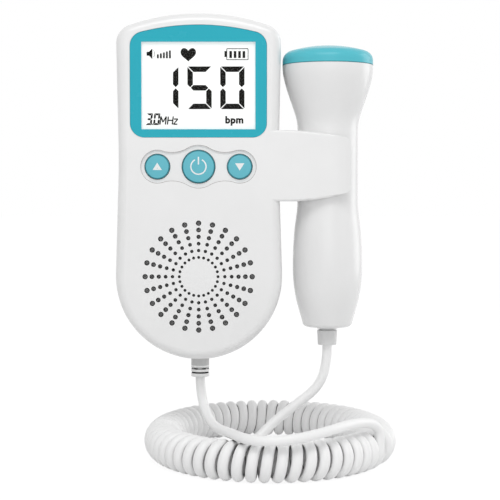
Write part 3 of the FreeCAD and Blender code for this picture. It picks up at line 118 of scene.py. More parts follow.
# ---------------------------------------------------------------- display marks, in mm
MARK_FRONT_Y = -28.62
MARK_THICKNESS = 0.05
MARK_SLANT = 0.12
NUMBER_DIGITS = (("1", -17.2), ("5", -4.3), ("0", 8.45))  # with their left edges
NUMBER_WIDTH = 9.4
NUMBER_HEIGHT = 16.5
NUMBER_STROKE = 2.1
NUMBER_GAP = 0.5
NUMBER_MIDDLE_Z = 38.4
FREQUENCY_DIGITS = (("3", -20.6), ("0", -17.7))
FREQUENCY_WIDTH = 2.35
FREQUENCY_HEIGHT = 4.5
FREQUENCY_STROKE = 0.72
FREQUENCY_GAP = 0.16
FREQUENCY_BASE = 24.0
POINT_LEFT = -18.2
POINT_WIDTH = 0.35
POINT_HEIGHT = 0.45
UNIT_BASE = 24.2
UNIT_STROKE = 0.48
UNIT_LETTERS = [
    # left edge, and the lines of the letter
    (-15.0, [[(0, 0), (0, 3.1), (1.05, 0.9), (2.1, 3.1), (2.1, 0)]]),
    (-12.1, [[(0, 0), (0, 3.1)], [(1.9, 0), (1.9, 3.1)], [(0, 1.6), (1.9, 1.6)]]),
    (-9.75, [[(0, 2.1), (1.45, 2.1), (0, 0.1), (1.5, 0.1)]]),
]
RATE_LETTERS = "bpm"
RATE_PLACE = (10.35, 24.75)
RATE_SIZE = 3.75
RATE_WEIGHT = 0.17
RATE_STRETCH = 1.02
RATE_SPACING = 1.09
SPEAKER_OUTLINE = [(-20.1, 50.8), (-19.2, 50.8), (-17.9, 49.5), (-17.9, 53.6), (-19.2, 52.3),
                   (-20.1, 52.3)]
SOUND_CENTRE = (-19.3, 51.55)
SOUND_RADIUS = 2.3
SOUND_ANGLES = (55, 125)
SOUND_LINE = 0.14
VOLUME_BARS = 5
VOLUME_LEFT = -16.1
VOLUME_PITCH = 1.17
VOLUME_WIDTH = 0.7
VOLUME_FOOT = 49.8
VOLUME_FIRST_TOP = 51.3
VOLUME_RISE = 0.38
HEART_CENTRE = (-3.95, 51.1)
HEART_WIDTH = 6.0
HEART_HEIGHT = 5.2
HEART_POINTS = 40
BATTERY_TIP = (10.1, 50.3, 10.95, 52.6)  # left, foot, right, top
BATTERY_CASE = (11.0, 49.25, 19.25, 53.5)
BATTERY_LINE = 0.28
BATTERY_BARS = 4
BATTERY_BAR = (12.0, 49.9, 13.0, 52.6)
BATTERY_BAR_PITCH = 1.71

# ---------------------------------------------------------------- buttons and their recess, in mm
BUTTON_Z = 7.8
BUTTON_SPACING = 16.0
SMALL_BUTTON_RADIUS = 4.8
POWER_BUTTON_RADIUS = 6.35
BUTTONS = [
    # name, place across the console, radius
    ("up", -BUTTON_SPACING, SMALL_BUTTON_RADIUS),
    ("power", 0.0, POWER_BUTTON_RADIUS),
    ("down", BUTTON_SPACING, SMALL_BUTTON_RADIUS),
]
BUTTON_FACE_Y = -30.4
BUTTON_CROWN = 0.25
BUTTON_EDGE_RADIUS = 0.45
# rings of painted shade on each button's rounded edge
BUTTON_RIM_STEPS = (-0.38, -0.22, -0.09, 0.02)  # out from the button's radius
BUTTON_CLEARANCE = 0.25
BUTTON_GAP_LINE = 0.28
BUTTON_GAP_DEPTH = 0.1
SYMBOL_LIFT = 0.04
SYMBOL_THICKNESS = 0.14
ARROW_UP = [(-1.79, -1.3), (1.79, -1.3), (0.0, 1.54)]
POWER_RING_RADIUS = 2.95
POWER_RING_ANGLES = (27, 333)
POWER_RING_LINE = 0.50
POWER_BAR_WIDTH = 0.52
POWER_BAR_FOOT = 0.8
POWER_BAR_PIECE = 0.6
POWER_BAR_PIECES = 5
POCKET_FLOOR_Y = -29.3
POWER_POCKET_MARGIN = 2.0
SMALL_POCKET_MARGIN = 1.65
POCKET_VALLEY_RADIUS = 12.0
# a thin grey line of painted shade along the step of the recess round the buttons
POCKET_LINE = 0.14
POCKET_LINE_LIFT = 0.01
POCKET_LINE_THICKNESS = 0.03

# ---------------------------------------------------------------- grille and parting lines, in mm
CASE_FRONT_Y = -30.0
GRILLE_Z = -35.0
GRILLE_SPOKES = 24
GRILLE_RINGS = [
    # radius of the ring, and of each hole on it
    (7.53, 0.58), (10.2, 0.66), (12.87, 0.74), (15.53, 0.84), (18.2, 0.94), (20.85, 1.05),
]
GRILLE_RIM = 0.27
GRILLE_RIM_DEPTH = 0.3
GRILLE_RIM_THICKNESS = 0.2
PARTING_Y = -15.0
PARTING_CUT = 0.3  # how far before the parting plane the front half's outline is taken
PARTING_LINE = 0.12
PARTING_LINE_THICKNESS = 0.2
PARTED = (("front_shell", "console"), ("probe_front_half", "probe"))  # with their bodies
WELD_DISTANCE = 0.001

# ---------------------------------------------------------------- bent strips, in mm and degrees
CORD_Y = -15.0
PROBE_X = 50.95
STRIP_DEPTH = 0.2
STRIP_STEP = 6
STRIP_FEWEST_STEPS = 6
STRIPS = [
    # name, axis across, height up, radius, strip height, places, span, material, body
    # the slots are strips of painted shade sunk into the gland's grooves
    ("main_gland_short_slots", 0.0, -72.55, 3.4, 0.7, range(30, 390, 60), 26, "gap", "console"),
    ("main_gland_long_slots", 0.0, -74.15, 3.4, 0.7, (0, 180), 150, "gap", "console"),
    ("main_gland_ring_0", 0.0, -71.6, 3.63, 0.6, (0,), 360, "ring", "console"),
    ("main_gland_ring_1", 0.0, -73.35, 3.63, 0.9, (0,), 360, "ring", "console"),
    ("main_gland_ring_2", 0.0, -75.1, 3.63, 1.2, (0,), 360, "ring", "console"),
    ("probe_gland_slots", PROBE_X, -57.6, 3.45, 0.6, range(0, 360, 40), 22, "gap", "probe"),
    ("cap_joint", PROBE_X, 48.3, 18.03, 0.3, (0,), 360, "joint", "probe"),
]

# ---------------------------------------------------------------- cord
CORD_DIAMETER = 0.0038
COIL_SWELL = 1.13
MAIN_LEAD_POINTS = [
    (0.0, -0.015, -0.0752),
    (0.0, -0.015, -0.082),
    (0.0026, -0.020, -0.0905),
    (0.0064, -0.034, -0.0936),
    (0.0126, -0.0575, -0.0914),
    (0.0185, -0.0695, -0.0917),
    (0.028, -0.0725, -0.0919),
    (0.0385, -0.0715, -0.0909),
    (0.049, -0.0655, -0.0892),
    (0.058, -0.0545, -0.0885),
    (0.0655, -0.0455, -0.0893),
    (0.0697, -0.0415, -0.0928),
]
PROBE_LEAD_POINTS = [
    (0.05095, -0.015, -0.0632),
    (0.05095, -0.015, -0.0705),
    (0.0478, -0.0152, -0.080),
    (0.039, -0.016, -0.0868),
    (0.0295, -0.018, -0.0938),
    (0.022, -0.022, -0.101),
    (0.0145, -0.028, -0.105),
    (0.0112, -0.037, -0.1067),
    (0.015, -0.0465, -0.1067),
    (0.025, -0.051, -0.1067),
    (0.037, -0.050, -0.1067),
    (0.048, -0.0442, -0.1067),
    (0.0545, -0.0365, -0.1067),
    (0.061, -0.0315, -0.1067),
    (0.0682, -0.0311, -0.1067),
]
COIL_CENTRE = (0.028, -0.014, -0.101)
COIL_HALF_WIDTH = 0.0428
COIL_HALF_DEPTH = 0.050
COIL_FINE_STEPS = 4000
HELIX_RADIUS = 0.0056
HELIX_PITCH = 0.00480
HELIX_FIRST_ANGLE = math.radians(-31)
HELIX_LAST_ANGLE = math.radians(-380)
HELIX_FIRST_TILT = math.radians(20)
HELIX_LAST_TILT = math.radians(-90)
POINTS_A_TURN = 16


# ---------------------------------------------------------------- node helpers
class Shader:
    """A new material with its Principled shader and short ways to add nodes."""

    def __init__(self, name):
        self.material = bpy.data.materials.new(name)
        self.material.use_nodes = True
        self.nodes = self.material.node_tree.nodes
        self.links = self.material.node_tree.links
        self.bsdf = self.nodes["Principled BSDF"]
        self.place = self.nodes.new("ShaderNodeTexCoord").outputs["Object"]

    def set(self, **values):
        for name, value in values.items():
            self.bsdf.inputs[name.replace("_", " ")].default_value = value

    def feed(self, output, socket):
        self.links.new(output, self.bsdf.inputs[socket])

    def noise(self, scale, detail=2.0, stretch=None):
        texture = self.nodes.new("ShaderNodeTexNoise")
        texture.inputs["Scale"].default_value = scale
        texture.inputs["Detail"].default_value = detail
        place = self.place
        if stretch:
            mapping = self.nodes.new("ShaderNodeMapping")
            mapping.inputs["Scale"].default_value = stretch
            self.links.new(place, mapping.inputs["Vector"])
            place = mapping.outputs["Vector"]
        self.links.new(place, texture.inputs["Vector"])
        return texture.outputs["Fac"]

    def ranged(self, value, low=0.0, high=1.0, span=NOISE_RANGE):
        """A value's span spread from low to high."""
        node = self.nodes.new("ShaderNodeMapRange")
        node.inputs["From Min"].default_value = span[0]
        node.inputs["From Max"].default_value = span[1]
        node.inputs["To Min"].default_value = low
        node.inputs["To Max"].default_value = high
        self.links.new(value, node.inputs["Value"])
        return node.outputs["Result"]

    def mixed(self, factor, a, b):
        """Colour a where the factor is 0, and b where it is 1."""
        node = self.nodes.new("ShaderNodeMix")
        node.data_type = "RGBA"
        self.links.new(factor, node.inputs["Factor"])
        plugs = [s for s in node.inputs if s.type == "RGBA"]
        for plug, colour in zip(plugs, (a, b)):
            if isinstance(colour, tuple):
                plug.default_value = (*colour, 1.0)
            else:
                self.links.new(colour, plug)
        return [s for s in node.outputs if s.type == "RGBA"][0]

    def bump(self, height, depth):
        """Relief with a depth in mm."""
        node = self.nodes.new("ShaderNodeBump")
        node.inputs["Distance"].default_value = depth * MM
        node.inputs["Strength"].default_value = 1.0
        self.links.new(height, node.inputs["Height"])
        self.feed(node.outputs["Normal"], "Normal")


def scaled(colour, factor):
    return tuple(min(1.0, c * factor) for c in colour)


def painted_crevice_shade(shader, tint, colour):
    """The tint, with painted shade where the same piece stands close by."""
    closeness = shader.nodes.new("ShaderNodeAmbientOcclusion")
    closeness.inputs["Distance"].default_value = CREVICE_REACH * MM
    closeness.only_local = True
    openness = shader.ranged(closeness.outputs["AO"], span=CREVICE_OPENNESS)
    return shader.mixed(openness, scaled(colour, CREVICE_SHADE), tint)


def plastic(name, colour, roughness, grain, depth, coat=0.0, gloss=0.5, paint_crevice_shade=False):
    """Moulded plastic: fine grain in the surface, a slight drift of colour and gloss, and painted
    shade in crevices if asked for.
    """
    shader = Shader(name)
    drift = shader.ranged(shader.noise(TINT_DRIFT_SCALE, detail=3.0))
    tint = shader.mixed(drift, scaled(colour, 1 - TINT_DRIFT), scaled(colour, 1 + TINT_DRIFT))
    if paint_crevice_shade:
        tint = painted_crevice_shade(shader, tint, colour)
    shader.feed(tint, "Base Color")
    smoothest, roughest = roughness * (1 - GLOSS_DRIFT), roughness * (1 + GLOSS_DRIFT)
    sheen = shader.noise(GLOSS_DRIFT_SCALE, detail=4.0)
    shader.feed(shader.ranged(sheen, smoothest, roughest), "Roughness")
    shader.bump(shader.noise(grain), depth)
    shader.set(Coat_Weight=coat, Coat_Roughness=COAT_ROUGHNESS, Specular_IOR_Level=gloss)
    return shader.material


def metal(name, colour, roughness, stretch):
    """Drawn or turned metal with fine marks along one direction."""
    shader = Shader(name)
    marks = shader.noise(METAL_MARK_SCALE, detail=4.0, stretch=stretch)
    darker = scaled(colour, METAL_MARK_SHADE)
    smoothest, roughest = (roughness * share for share in METAL_ROUGHNESS_SPAN)
    shader.feed(shader.mixed(shader.ranged(marks), darker, colour), "Base Color")
    shader.feed(shader.ranged(marks, smoothest, roughest), "Roughness")
    shader.set(Metallic=1.0)
    shader.bump(marks, METAL_MARK_DEPTH)
    return shader.material


def cloth(name, colour):
    """Fine open weave."""
    shader = Shader(name)
    weave = shader.nodes.new("ShaderNodeMath")
    weave.operation = "MULTIPLY"
    for direction, factor in zip(("X", "Z"), weave.inputs):
        wave = shader.nodes.new("ShaderNodeTexWave")
        wave.bands_direction = direction
        wave.inputs["Scale"].default_value = WEAVE_SCALE
        shader.links.new(shader.place, wave.inputs["Vector"])
        shader.links.new(wave.outputs["Fac"], factor)
    height = weave.outputs["Value"]
    shader.feed(shader.mixed(height, scaled(colour, WEAVE_SHADE), colour), "Base Color")
    shader.set(Roughness=0.9)
    shader.bump(height, WEAVE_DEPTH)
    return shader.material


def glow(name, colour, strength):
    """Backlit display glass: a soft light with a very slight drift."""
    shader = Shader(name)
    drift = shader.ranged(shader.noise(GLASS_DRIFT_SCALE))
    shader.feed(shader.mixed(drift, scaled(colour, 1 - TINT_DRIFT), colour), "Base Color")
    shader.set(Roughness=0.25, Emission_Color=(*colour, 1.0), Emission_Strength=strength)
    return shader.material


def clear(name, colour, alpha):
    """Clear polished acrylic, so thin that it only adds its gloss."""
    shader = Shader(name)
    shader.feed(shader.ranged(shader.noise(ACRYLIC_DRIFT_SCALE), *ACRYLIC_ROUGHNESS), "Roughness")
    shader.set(Base_Color=(*colour, 1.0), Alpha=alpha, IOR=ACRYLIC_IOR)
    return shader.material


def board(name):
    """Solder mask over faint copper tracks."""
    shader = Shader(name)
    tracks = shader.nodes.new("ShaderNodeTexVoronoi")
    tracks.distance = "MANHATTAN"
    tracks.inputs["Scale"].default_value = TRACK_SCALE
    shader.links.new(shader.place, tracks.inputs["Vector"])
    edge = shader.ranged(tracks.outputs["Distance"], span=TRACK_EDGE)
    shader.feed(shader.mixed(edge, BOARD_GREEN, TRACK_GREEN), "Base Color")
    shader.set(Roughness=0.35)
    shader.bump(edge, TRACK_DEPTH)
    return shader.material


MATERIALS = {
    # plastics: name, colour, roughness, grain scale, grain depth in mm, coat, gloss
    "case": plastic("case_white", CASE_WHITE, 0.30, 2600.0, 0.006, 0.5),
    "probe": plastic("probe_white", PROBE_WHITE, 0.24, 1500.0, 0.002, 0.1, 0.4),
    "teal": plastic("teal_plastic", TEAL, 0.26, 1800.0, 0.003, 0.0, 0.2),
    "cap": plastic("cap_teal", TEAL_CAP, 0.24, 1500.0, 0.002, 0.0, 0.25),
    "button": plastic("button_teal", TEAL_BUTTON, 0.30, 2200.0, 0.006),
    "black": plastic("black_plastic", (0.022, 0.022, 0.023), 0.45, 2000.0, 0.01),
    "gland": plastic("gland_grey", GLAND_SHADED_GREY, 0.42, 2000.0, 0.01),
    "gland_lit_grey": plastic("gland_lit_grey", GLAND_LIT_GREY, 0.42, 2000.0, 0.01),
    # the cord has painted shade between the turns of its coil
    "cord": plastic("cord_white", CORD_WHITE, 0.36, 1200.0, 0.01, paint_crevice_shade=True),
    "rubber": plastic("soft_black", (0.03, 0.03, 0.03), 0.7, 1500.0, 0.02),
    "cone": plastic("cone_paper", (0.05, 0.05, 0.055), 0.85, 1200.0, 0.04),
    "wire": plastic("wire_red", (0.45, 0.03, 0.02), 0.4, 900.0, 0.01),
    "guide": plastic("light_guide", (0.86, 0.87, 0.87), 0.2, 700.0, 0.005),
    "magnet": plastic("ferrite", (0.06, 0.06, 0.065), 0.55, 900.0, 0.03),
    "painted": plastic("painted_steel", (0.04, 0.04, 0.042), 0.4, 1500.0, 0.01),
    "mark": plastic("lcd_mark", MARK_DARK, 0.5, 900.0, 0.002, 0.0, 0.0),
    # painted shade in gaps, slots and the walls of the sound holes
    "gap": plastic("gap_shade_black", (0.02, 0.02, 0.02), 0.8, 900.0, 0.002, 0.0, 0.1),
    "ring": plastic("ring_white", (0.95, 0.95, 0.95), 0.35, 1500.0, 0.005),
    # dark teal for the cap's joint line, and painted shade on the buttons' rounded edges
    "joint": plastic("joint_and_rim_shade_teal", (0.03, 0.20, 0.24), 0.5, 900.0, 0.002, 0.0, 0.2),
    # grey for the parting lines, and painted shade along the edge of the button recess
    "seam_and_shade": plastic("seam_grey", (0.36, 0.33, 0.32), 0.6, 900.0, 0.002, 0.0, 0.2),
    "symbol": plastic("symbol_white", SYMBOL_WHITE, 0.35, 2200.0, 0.004),
    # metals: name, colour, roughness, stretch of the marks
    "steel": metal("steel", (0.60, 0.60, 0.61), 0.28, (1.0, 0.12, 1.0)),
    "sleeve": metal("cell_sleeve", (0.42, 0.43, 0.45), 0.35, (1.0, 1.0, 0.05)),
    "crystal": metal("silvered_ceramic", (0.80, 0.77, 0.70), 0.30, (1.0, 1.0, 1.0)),
    "cloth": cloth("dust_cloth", (0.75, 0.75, 0.75)),
    "board": board("solder_mask"),
    "lcd": glow("lcd_glass", LCD_WHITE, 0.42),
    "lens": clear("clear_acrylic", (0.10, 0.11, 0.11), 0.04),
}
NODE_MATERIALS = {
    "case": ["front_shell", "rear_shell", "battery_door"],
    "probe": ["probe_front_half", "probe_rear_half"],
    "teal": ["display_bezel"],
    "cap": ["probe_head_cap"],
    "button": ["up_button", "power_button", "down_button"],
    "black": ["up_plunger", "power_plunger", "down_plunger", "up_switch", "power_switch",
              "down_switch", "board_chips", "headphone_jack", "crystal_holder"],
    "gland": ["main_cable_gland"],
    "gland_lit_grey": ["probe_cable_gland"],
    "cord": ["probe_inner_cord"],
    "rubber": ["speaker_gasket", "probe_seal", "crystal_backing"],
    "cone": ["speaker_cone"],
    "wire": ["main_wires", "crystal_wires"],
    "guide": ["lcd_backlight"],
    "steel": ["board_screws", "case_screws", "battery_contacts"],
    "sleeve": ["battery_left", "battery_right"],
    "crystal": ["crystal_pair"],
    "magnet": ["speaker_magnet"],
    "painted": ["speaker_frame"],
    "cloth": ["speaker_dust_cloth"],
    "board": ["main_board", "probe_board"],
    "lcd": ["lcd_panel"],
    "lens": ["display_window"],
}


def paint_nodes():
    for key, names in NODE_MATERIALS.items():
        for name in names:
            mesh = NODES[name].data
            mesh.materials.clear()
            mesh.materials.append(MATERIALS[key])


# ---------------------------------------------------------------- mesh helpers
def placed(name, data):
    """A new object in the scene."""
    piece = bpy.data.objects.new(name, data)
    bpy.context.scene.collection.objects.link(piece)
    return piece


def painted(name, mesh, material):
    mesh.materials.clear()
    mesh.materials.append(MATERIALS[material])
    return placed(name, mesh)


def drawn(name, shape, material, body):
    """A piece made from a finished bmesh, which moves with a body."""
    mesh = bpy.data.meshes.new(name)
    shape.to_mesh(mesh)
    shape.free()
    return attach(painted(name, mesh, material), body)


def plates(name, outlines, y_front, thickness, material, body):
    """Flat shapes drawn in X and Z, with a thickness towards the back, in mm."""
    shape = bmesh.new()
    for outline in outlines:
        front = [shape.verts.new((x * MM, y_front * MM, z * MM)) for x, z in outline]
        back = [shape.verts.new((x * MM, (y_front + thickness) * MM, z * MM)) for x, z in outline]
        shape.faces.new(front)
        shape.faces.new(list(reversed(back)))
        for i in range(len(outline)):
            j = (i + 1) % len(outline)
            shape.faces.new((front[j], front[i], back[i], back[j]))
    bmesh.ops.recalc_face_normals(shape, faces=shape.faces)
    bmesh.ops.triangulate(shape, faces=[f for f in shape.faces if len(f.verts) > 4])
    return drawn(name, shape, material, body)


# ---------------------------------------------------------------- flat shapes in X and Z, in mm
def moved(outline, x, z):
    return [(x + u, z + w) for u, w in outline]


def slanted(outline, base_z):
    return [(x + (z - base_z) * MARK_SLANT, z) for x, z in outline]


def rectangle(left, foot, right, top):
    return [(left, foot), (right, foot), (right, top), (left, top)]


def band(points, width, closed=False):
    """Even stroke along a polyline."""
    count = len(points)
    left, right = [], []
    for i in range(count):
        if closed:
            before, after = points[i - 1], points[(i + 1) % count]
        else:
            before, after = points[max(i - 1, 0)], points[min(i + 1, count - 1)]
        dx, dz = after[0] - before[0], after[1] - before[1]
        size = math.hypot(dx, dz)
        nx, nz = -dz / size * width / 2, dx / size * width / 2
        left.append((points[i][0] + nx, points[i][1] + nz))
        right.append((points[i][0] - nx, points[i][1] - nz))
    quads = [[left[i], left[i + 1], right[i + 1], right[i]] for i in range(count - 1)]
    if closed:
        quads.append([left[-1], left[0], right[0], right[-1]])
    return quads


def strokes(lines, width):
    """Separate straight strokes along each line of points."""
    return [quad for line in lines for a, b in zip(line, line[1:]) for quad in band([a, b], width)]


def arc_points(x, z, radius, first, last, steps):
    """Points on an arc, with angles in degrees from the top, clockwise."""
    places = []
    for i in range(steps + 1):
        angle = math.radians(first + (last - first) * i / steps)
        places.append((x + radius * math.sin(angle), z + radius * math.cos(angle)))
    return places


def circle_band(x, z, radius, width, steps):
    """Ring whose line runs along a circle."""
    return band(arc_points(x, z, radius, 0, 360, steps)[:-1], width, closed=True)


# ---------------------------------------------------------------- display
def digit(lit, width, height, stroke, gap):
    """Seven-segment digit with mitred ends, its lower left corner at the origin."""
    w, h, s, g = width, height, stroke, gap / 2
    half, mid = h / 2, s / 2
    top = [(g, h), (w - g, h), (w - s - g, h - s), (s + g, h - s)]
    upper_right = [(w, h - g), (w, half + mid + g), (w - mid, half + g), (w - s, half + mid + g),
                   (w - s, h - s - g)]
    middle = [(mid + g, half), (s + g, half + mid), (w - s - g, half + mid), (w - mid - g, half),
              (w - s - g, half - mid), (s + g, half - mid)]
    lower_right = [(x, h - z) for x, z in upper_right]
    shapes = {"top": top, "upper_right": upper_right, "middle": middle, "lower_right": lower_right,
              "bottom": [(x, h - z) for x, z in top],
              "upper_left": [(w - x, z) for x, z in upper_right],
              "lower_left": [(w - x, z) for x, z in lower_right]}
    return [shapes[name] for name in lit]


DIGITS = {
    "0": ["top", "upper_right", "lower_right", "bottom", "lower_left", "upper_left"],
    "1": ["upper_right", "lower_right"],
    "3": ["top", "upper_right", "middle", "lower_right", "bottom"],
    "5": ["top", "upper_left", "middle", "lower_right", "bottom"],
}


def number_marks():
    base = NUMBER_MIDDLE_Z - NUMBER_HEIGHT / 2
    shapes = []
    for name, left in NUMBER_DIGITS:
        for outline in digit(DIGITS[name], NUMBER_WIDTH, NUMBER_HEIGHT, NUMBER_STROKE, NUMBER_GAP):
            shapes.append(moved(outline, left, base))
    return shapes


def frequency_marks():
    base = FREQUENCY_BASE
    shapes = []
    for name, left in FREQUENCY_DIGITS:
        for outline in digit(DIGITS[name], FREQUENCY_WIDTH, FREQUENCY_HEIGHT, FREQUENCY_STROKE,
                             FREQUENCY_GAP):
            shapes.append(moved(outline, left, base))
    shapes.append(rectangle(POINT_LEFT, base, POINT_LEFT + POINT_WIDTH, base + POINT_HEIGHT))
    return [slanted(outline, base) for outline in shapes]


def unit_marks():
    """Unit of the frequency, in thin slanted letters."""
    shapes = []
    for left, lines in UNIT_LETTERS:
        shapes += [moved(outline, left, UNIT_BASE) for outline in strokes(lines, UNIT_STROKE)]
    return [slanted(outline, UNIT_BASE) for outline in shapes]


def volume_marks():
    """Loudspeaker with an arc of sound, and rising bars beside it."""
    shapes = [SPEAKER_OUTLINE]
    shapes += band(arc_points(*SOUND_CENTRE, SOUND_RADIUS, *SOUND_ANGLES, steps=8), SOUND_LINE)
    for i in range(VOLUME_BARS):
        left = VOLUME_LEFT + VOLUME_PITCH * i
        top = VOLUME_FIRST_TOP + VOLUME_RISE * i
        shapes.append(rectangle(left, VOLUME_FOOT, left + VOLUME_WIDTH, top))
    return shapes


def battery_marks():
    shapes = [rectangle(*BATTERY_TIP)]
    for i in range(BATTERY_BARS):
        shapes.append(moved(rectangle(*BATTERY_BAR), BATTERY_BAR_PITCH * i, 0))
    corners = rectangle(*BATTERY_CASE)
    return shapes + strokes([corners + corners[:1]], BATTERY_LINE)


def heart_marks():
    """Heart whose height follows a sum of cosines, about 28 units tall and centred on -2.5."""
    x, z = HEART_CENTRE
    places = []
    for i in range(HEART_POINTS):
        t = 2 * math.pi * i / HEART_POINTS
        across = math.copysign(abs(math.sin(t)) ** 2.3, math.sin(t)) / 2
        up = 13 * math.cos(t) - 4.2 * math.cos(2 * t) - 2 * math.cos(3 * t) - math.cos(4 * t)
        places.append((x + across * HEART_WIDTH, z + (up + 2.5) / 28 * HEART_HEIGHT))
    return [places]


def add_rate_letters():
    """Unit of the number, in plain letters, thickened a little."""
    name = "lcd_bpm"
    left, base = RATE_PLACE
    font = bpy.data.curves.new(name, "FONT")
    font.body = RATE_LETTERS
    font.size = RATE_SIZE * MM
    font.offset = RATE_WEIGHT * MM
    font.space_character = RATE_SPACING
    font.extrude = MARK_THICKNESS / 2 * MM
    holder = placed(name, font)
    mesh = bpy.data.meshes.new_from_object(holder)
    bpy.data.objects.remove(holder)
    for vertex in mesh.vertices:
        x, z, depth = vertex.co
        vertex.co = (left * MM + x * RATE_STRETCH,
                     (MARK_FRONT_Y + MARK_THICKNESS / 2) * MM - depth,
                     base * MM + z)
    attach(painted(name, mesh, "mark"), "console")


def add_marks():
    marks = (("lcd_number", number_marks()), ("lcd_frequency", frequency_marks()),
             ("lcd_unit", unit_marks()), ("lcd_volume", volume_marks()),
             ("lcd_battery", battery_marks()), ("lcd_heart", heart_marks()))
    for name, shapes in marks:
        plates(name, shapes, MARK_FRONT_Y, MARK_THICKNESS, "mark", "console")
    add_rate_letters()


# ---------------------------------------------------------------- buttons
def edge_drop(off, radius):
    """How far the rounded edge of a button lies behind its face, off from its middle."""
    out = min(max(off - radius + BUTTON_EDGE_RADIUS, 0.0), BUTTON_EDGE_RADIUS)
    return BUTTON_EDGE_RADIUS - math.sqrt(BUTTON_EDGE_RADIUS ** 2 - out ** 2)


def crowned(name, outlines, centre_x, radius, material, body):
    """Thin shapes on a crowned button, so that they follow its face and its edge."""
    piece = plates(name, outlines, BUTTON_FACE_Y - SYMBOL_LIFT, SYMBOL_THICKNESS, material, body)
    for vertex in piece.data.vertices:
        off = math.hypot(vertex.co.x / MM - centre_x, vertex.co.z / MM - BUTTON_Z)
        vertex.co.y += (BUTTON_CROWN * (off / radius) ** 2 + edge_drop(off, radius)) * MM


def power_symbol():
    ring = band(arc_points(0.0, BUTTON_Z, POWER_RING_RADIUS, *POWER_RING_ANGLES, steps=48),
                POWER_RING_LINE)
    half = POWER_BAR_WIDTH / 2
    feet = [BUTTON_Z + POWER_BAR_FOOT + POWER_BAR_PIECE * i for i in range(POWER_BAR_PIECES)]
    return ring + [rectangle(-half, foot, half, foot + POWER_BAR_PIECE) for foot in feet]


def add_symbols():
    arrow_down = [(x, -z) for x, z in ARROW_UP]
    symbols = {"up": [moved(ARROW_UP, -BUTTON_SPACING, BUTTON_Z)], "power": power_symbol(),
               "down": [moved(arrow_down, BUTTON_SPACING, BUTTON_Z)]}
    for name, x, radius in BUTTONS:
        crowned(name + "_symbol", symbols[name], x, radius, "symbol", name + "_button")


def add_button_rim_shade():
    """Painted shade on the rounded edge round each button, where it turns away from the light."""
    for name, x, radius in BUTTONS:
        shapes = []
        for inner, outer in zip(BUTTON_RIM_STEPS, BUTTON_RIM_STEPS[1:]):
            middle = radius + (inner + outer) / 2
            shapes += circle_band(x, BUTTON_Z, middle, outer - inner, steps=72)
        crowned(name + "_rim", shapes, x, radius, "joint", name + "_button")


def add_button_gaps():
    """Shadow in the narrow gap round each button."""
    rings = []
    for _, x, radius in BUTTONS:
        rings += circle_band(x, BUTTON_Z, radius + BUTTON_CLEARANCE / 2, BUTTON_GAP_LINE,
                             steps=60)
    plates("button_gaps", rings, POCKET_FLOOR_Y + BUTTON_GAP_DEPTH, BUTTON_GAP_DEPTH, "gap",
           "console")


# ---------------------------------------------------------------- lines and holes of the case
def pocket_outline():
    """Closed outline of the recess round the buttons: three lobes with hollow curves between."""
    power = POWER_BUTTON_RADIUS + POWER_POCKET_MARGIN
    small = SMALL_BUTTON_RADIUS + SMALL_POCKET_MARGIN
    valley = POCKET_VALLEY_RADIUS
    x = ((power + valley) ** 2 - (small + valley) ** 2 + BUTTON_SPACING ** 2) / (2 * BUTTON_SPACING)
    rise = math.sqrt((power + valley) ** 2 - x ** 2)
    lean = math.degrees(math.atan2(x, rise))
    turn = math.degrees(math.atan2(BUTTON_SPACING - x, rise))
    quarter = arc_points(0.0, 0.0, power, 0, lean, steps=10)
    quarter += arc_points(x, rise, valley, 180 + lean, 180 - turn, steps=14)[1:]
    quarter += arc_points(BUTTON_SPACING, 0.0, small, -turn, 90, steps=24)[1:]
    half = quarter + [(u, -w) for u, w in reversed(quarter[:-1])]
    outline = half + [(-u, w) for u, w in reversed(half[1:-1])]
    return moved(outline, 0.0, BUTTON_Z)


def add_pocket_edge_shade():
    # painted shade: a thin grey line along the edge of the recess round the buttons
    plates("pocket_edge", band(pocket_outline(), POCKET_LINE, closed=True),
           CASE_FRONT_Y - POCKET_LINE_LIFT, POCKET_LINE_THICKNESS, "seam_and_shade", "console")


def add_grille_rims():
    """Shadowed walls of the sound holes, just behind the face."""
    shapes = []
    for ring, hole in GRILLE_RINGS:
        for x, z in arc_points(0.0, GRILLE_Z, ring, 0, 360, GRILLE_SPOKES)[:-1]:
            shapes += circle_band(x, z, hole - GRILLE_RIM / 2, GRILLE_RIM, steps=14)
    plates("grille_rims", shapes, CASE_FRONT_Y + GRILLE_RIM_DEPTH, GRILLE_RIM_THICKNESS, "gap",
           "console")


def outline_at(node, y):
    """Longest closed line, in X and Z, where a plane across Y cuts a node."""
    shape = bmesh.new()
    shape.from_mesh(node.data)
    bmesh.ops.transform(shape, matrix=node.matrix_world, verts=shape.verts)
    bmesh.ops.remove_doubles(shape, verts=shape.verts, dist=WELD_DISTANCE * MM)
    whole = list(shape.verts) + list(shape.edges) + list(shape.faces)
    cut = bmesh.ops.bisect_plane(shape, geom=whole, plane_co=(0, y * MM, 0), plane_no=(0, 1, 0))
    beside = {}
    for edge in cut["geom_cut"]:
        if isinstance(edge, bmesh.types.BMEdge):
            a, b = edge.verts
            beside.setdefault(a, []).append(b)
            beside.setdefault(b, []).append(a)
    loops = []
    while beside:
        vert = next(iter(beside))
        loop = []
        while vert is not None:
            loop.append((vert.co.x / MM, vert.co.z / MM))
            onward = [other for other in beside.pop(vert) if other in beside]
            vert = onward[0] if onward else None
        loops.append(loop)
    shape.free()
    return max(loops, key=lambda loop: sum(math.dist(a, b) for a, b in zip(loop, loop[1:])))


def add_parting_lines():
    """Lines where the moulded halves of the case and of the probe meet."""
    for name, body in PARTED:
        loop = outline_at(NODES[name], PARTING_Y - PARTING_CUT)
        plates(name + "_parting_line", band(loop, PARTING_LINE, closed=True),
               PARTING_Y - PARTING_LINE_THICKNESS / 2, PARTING_LINE_THICKNESS, "seam_and_shade", body)


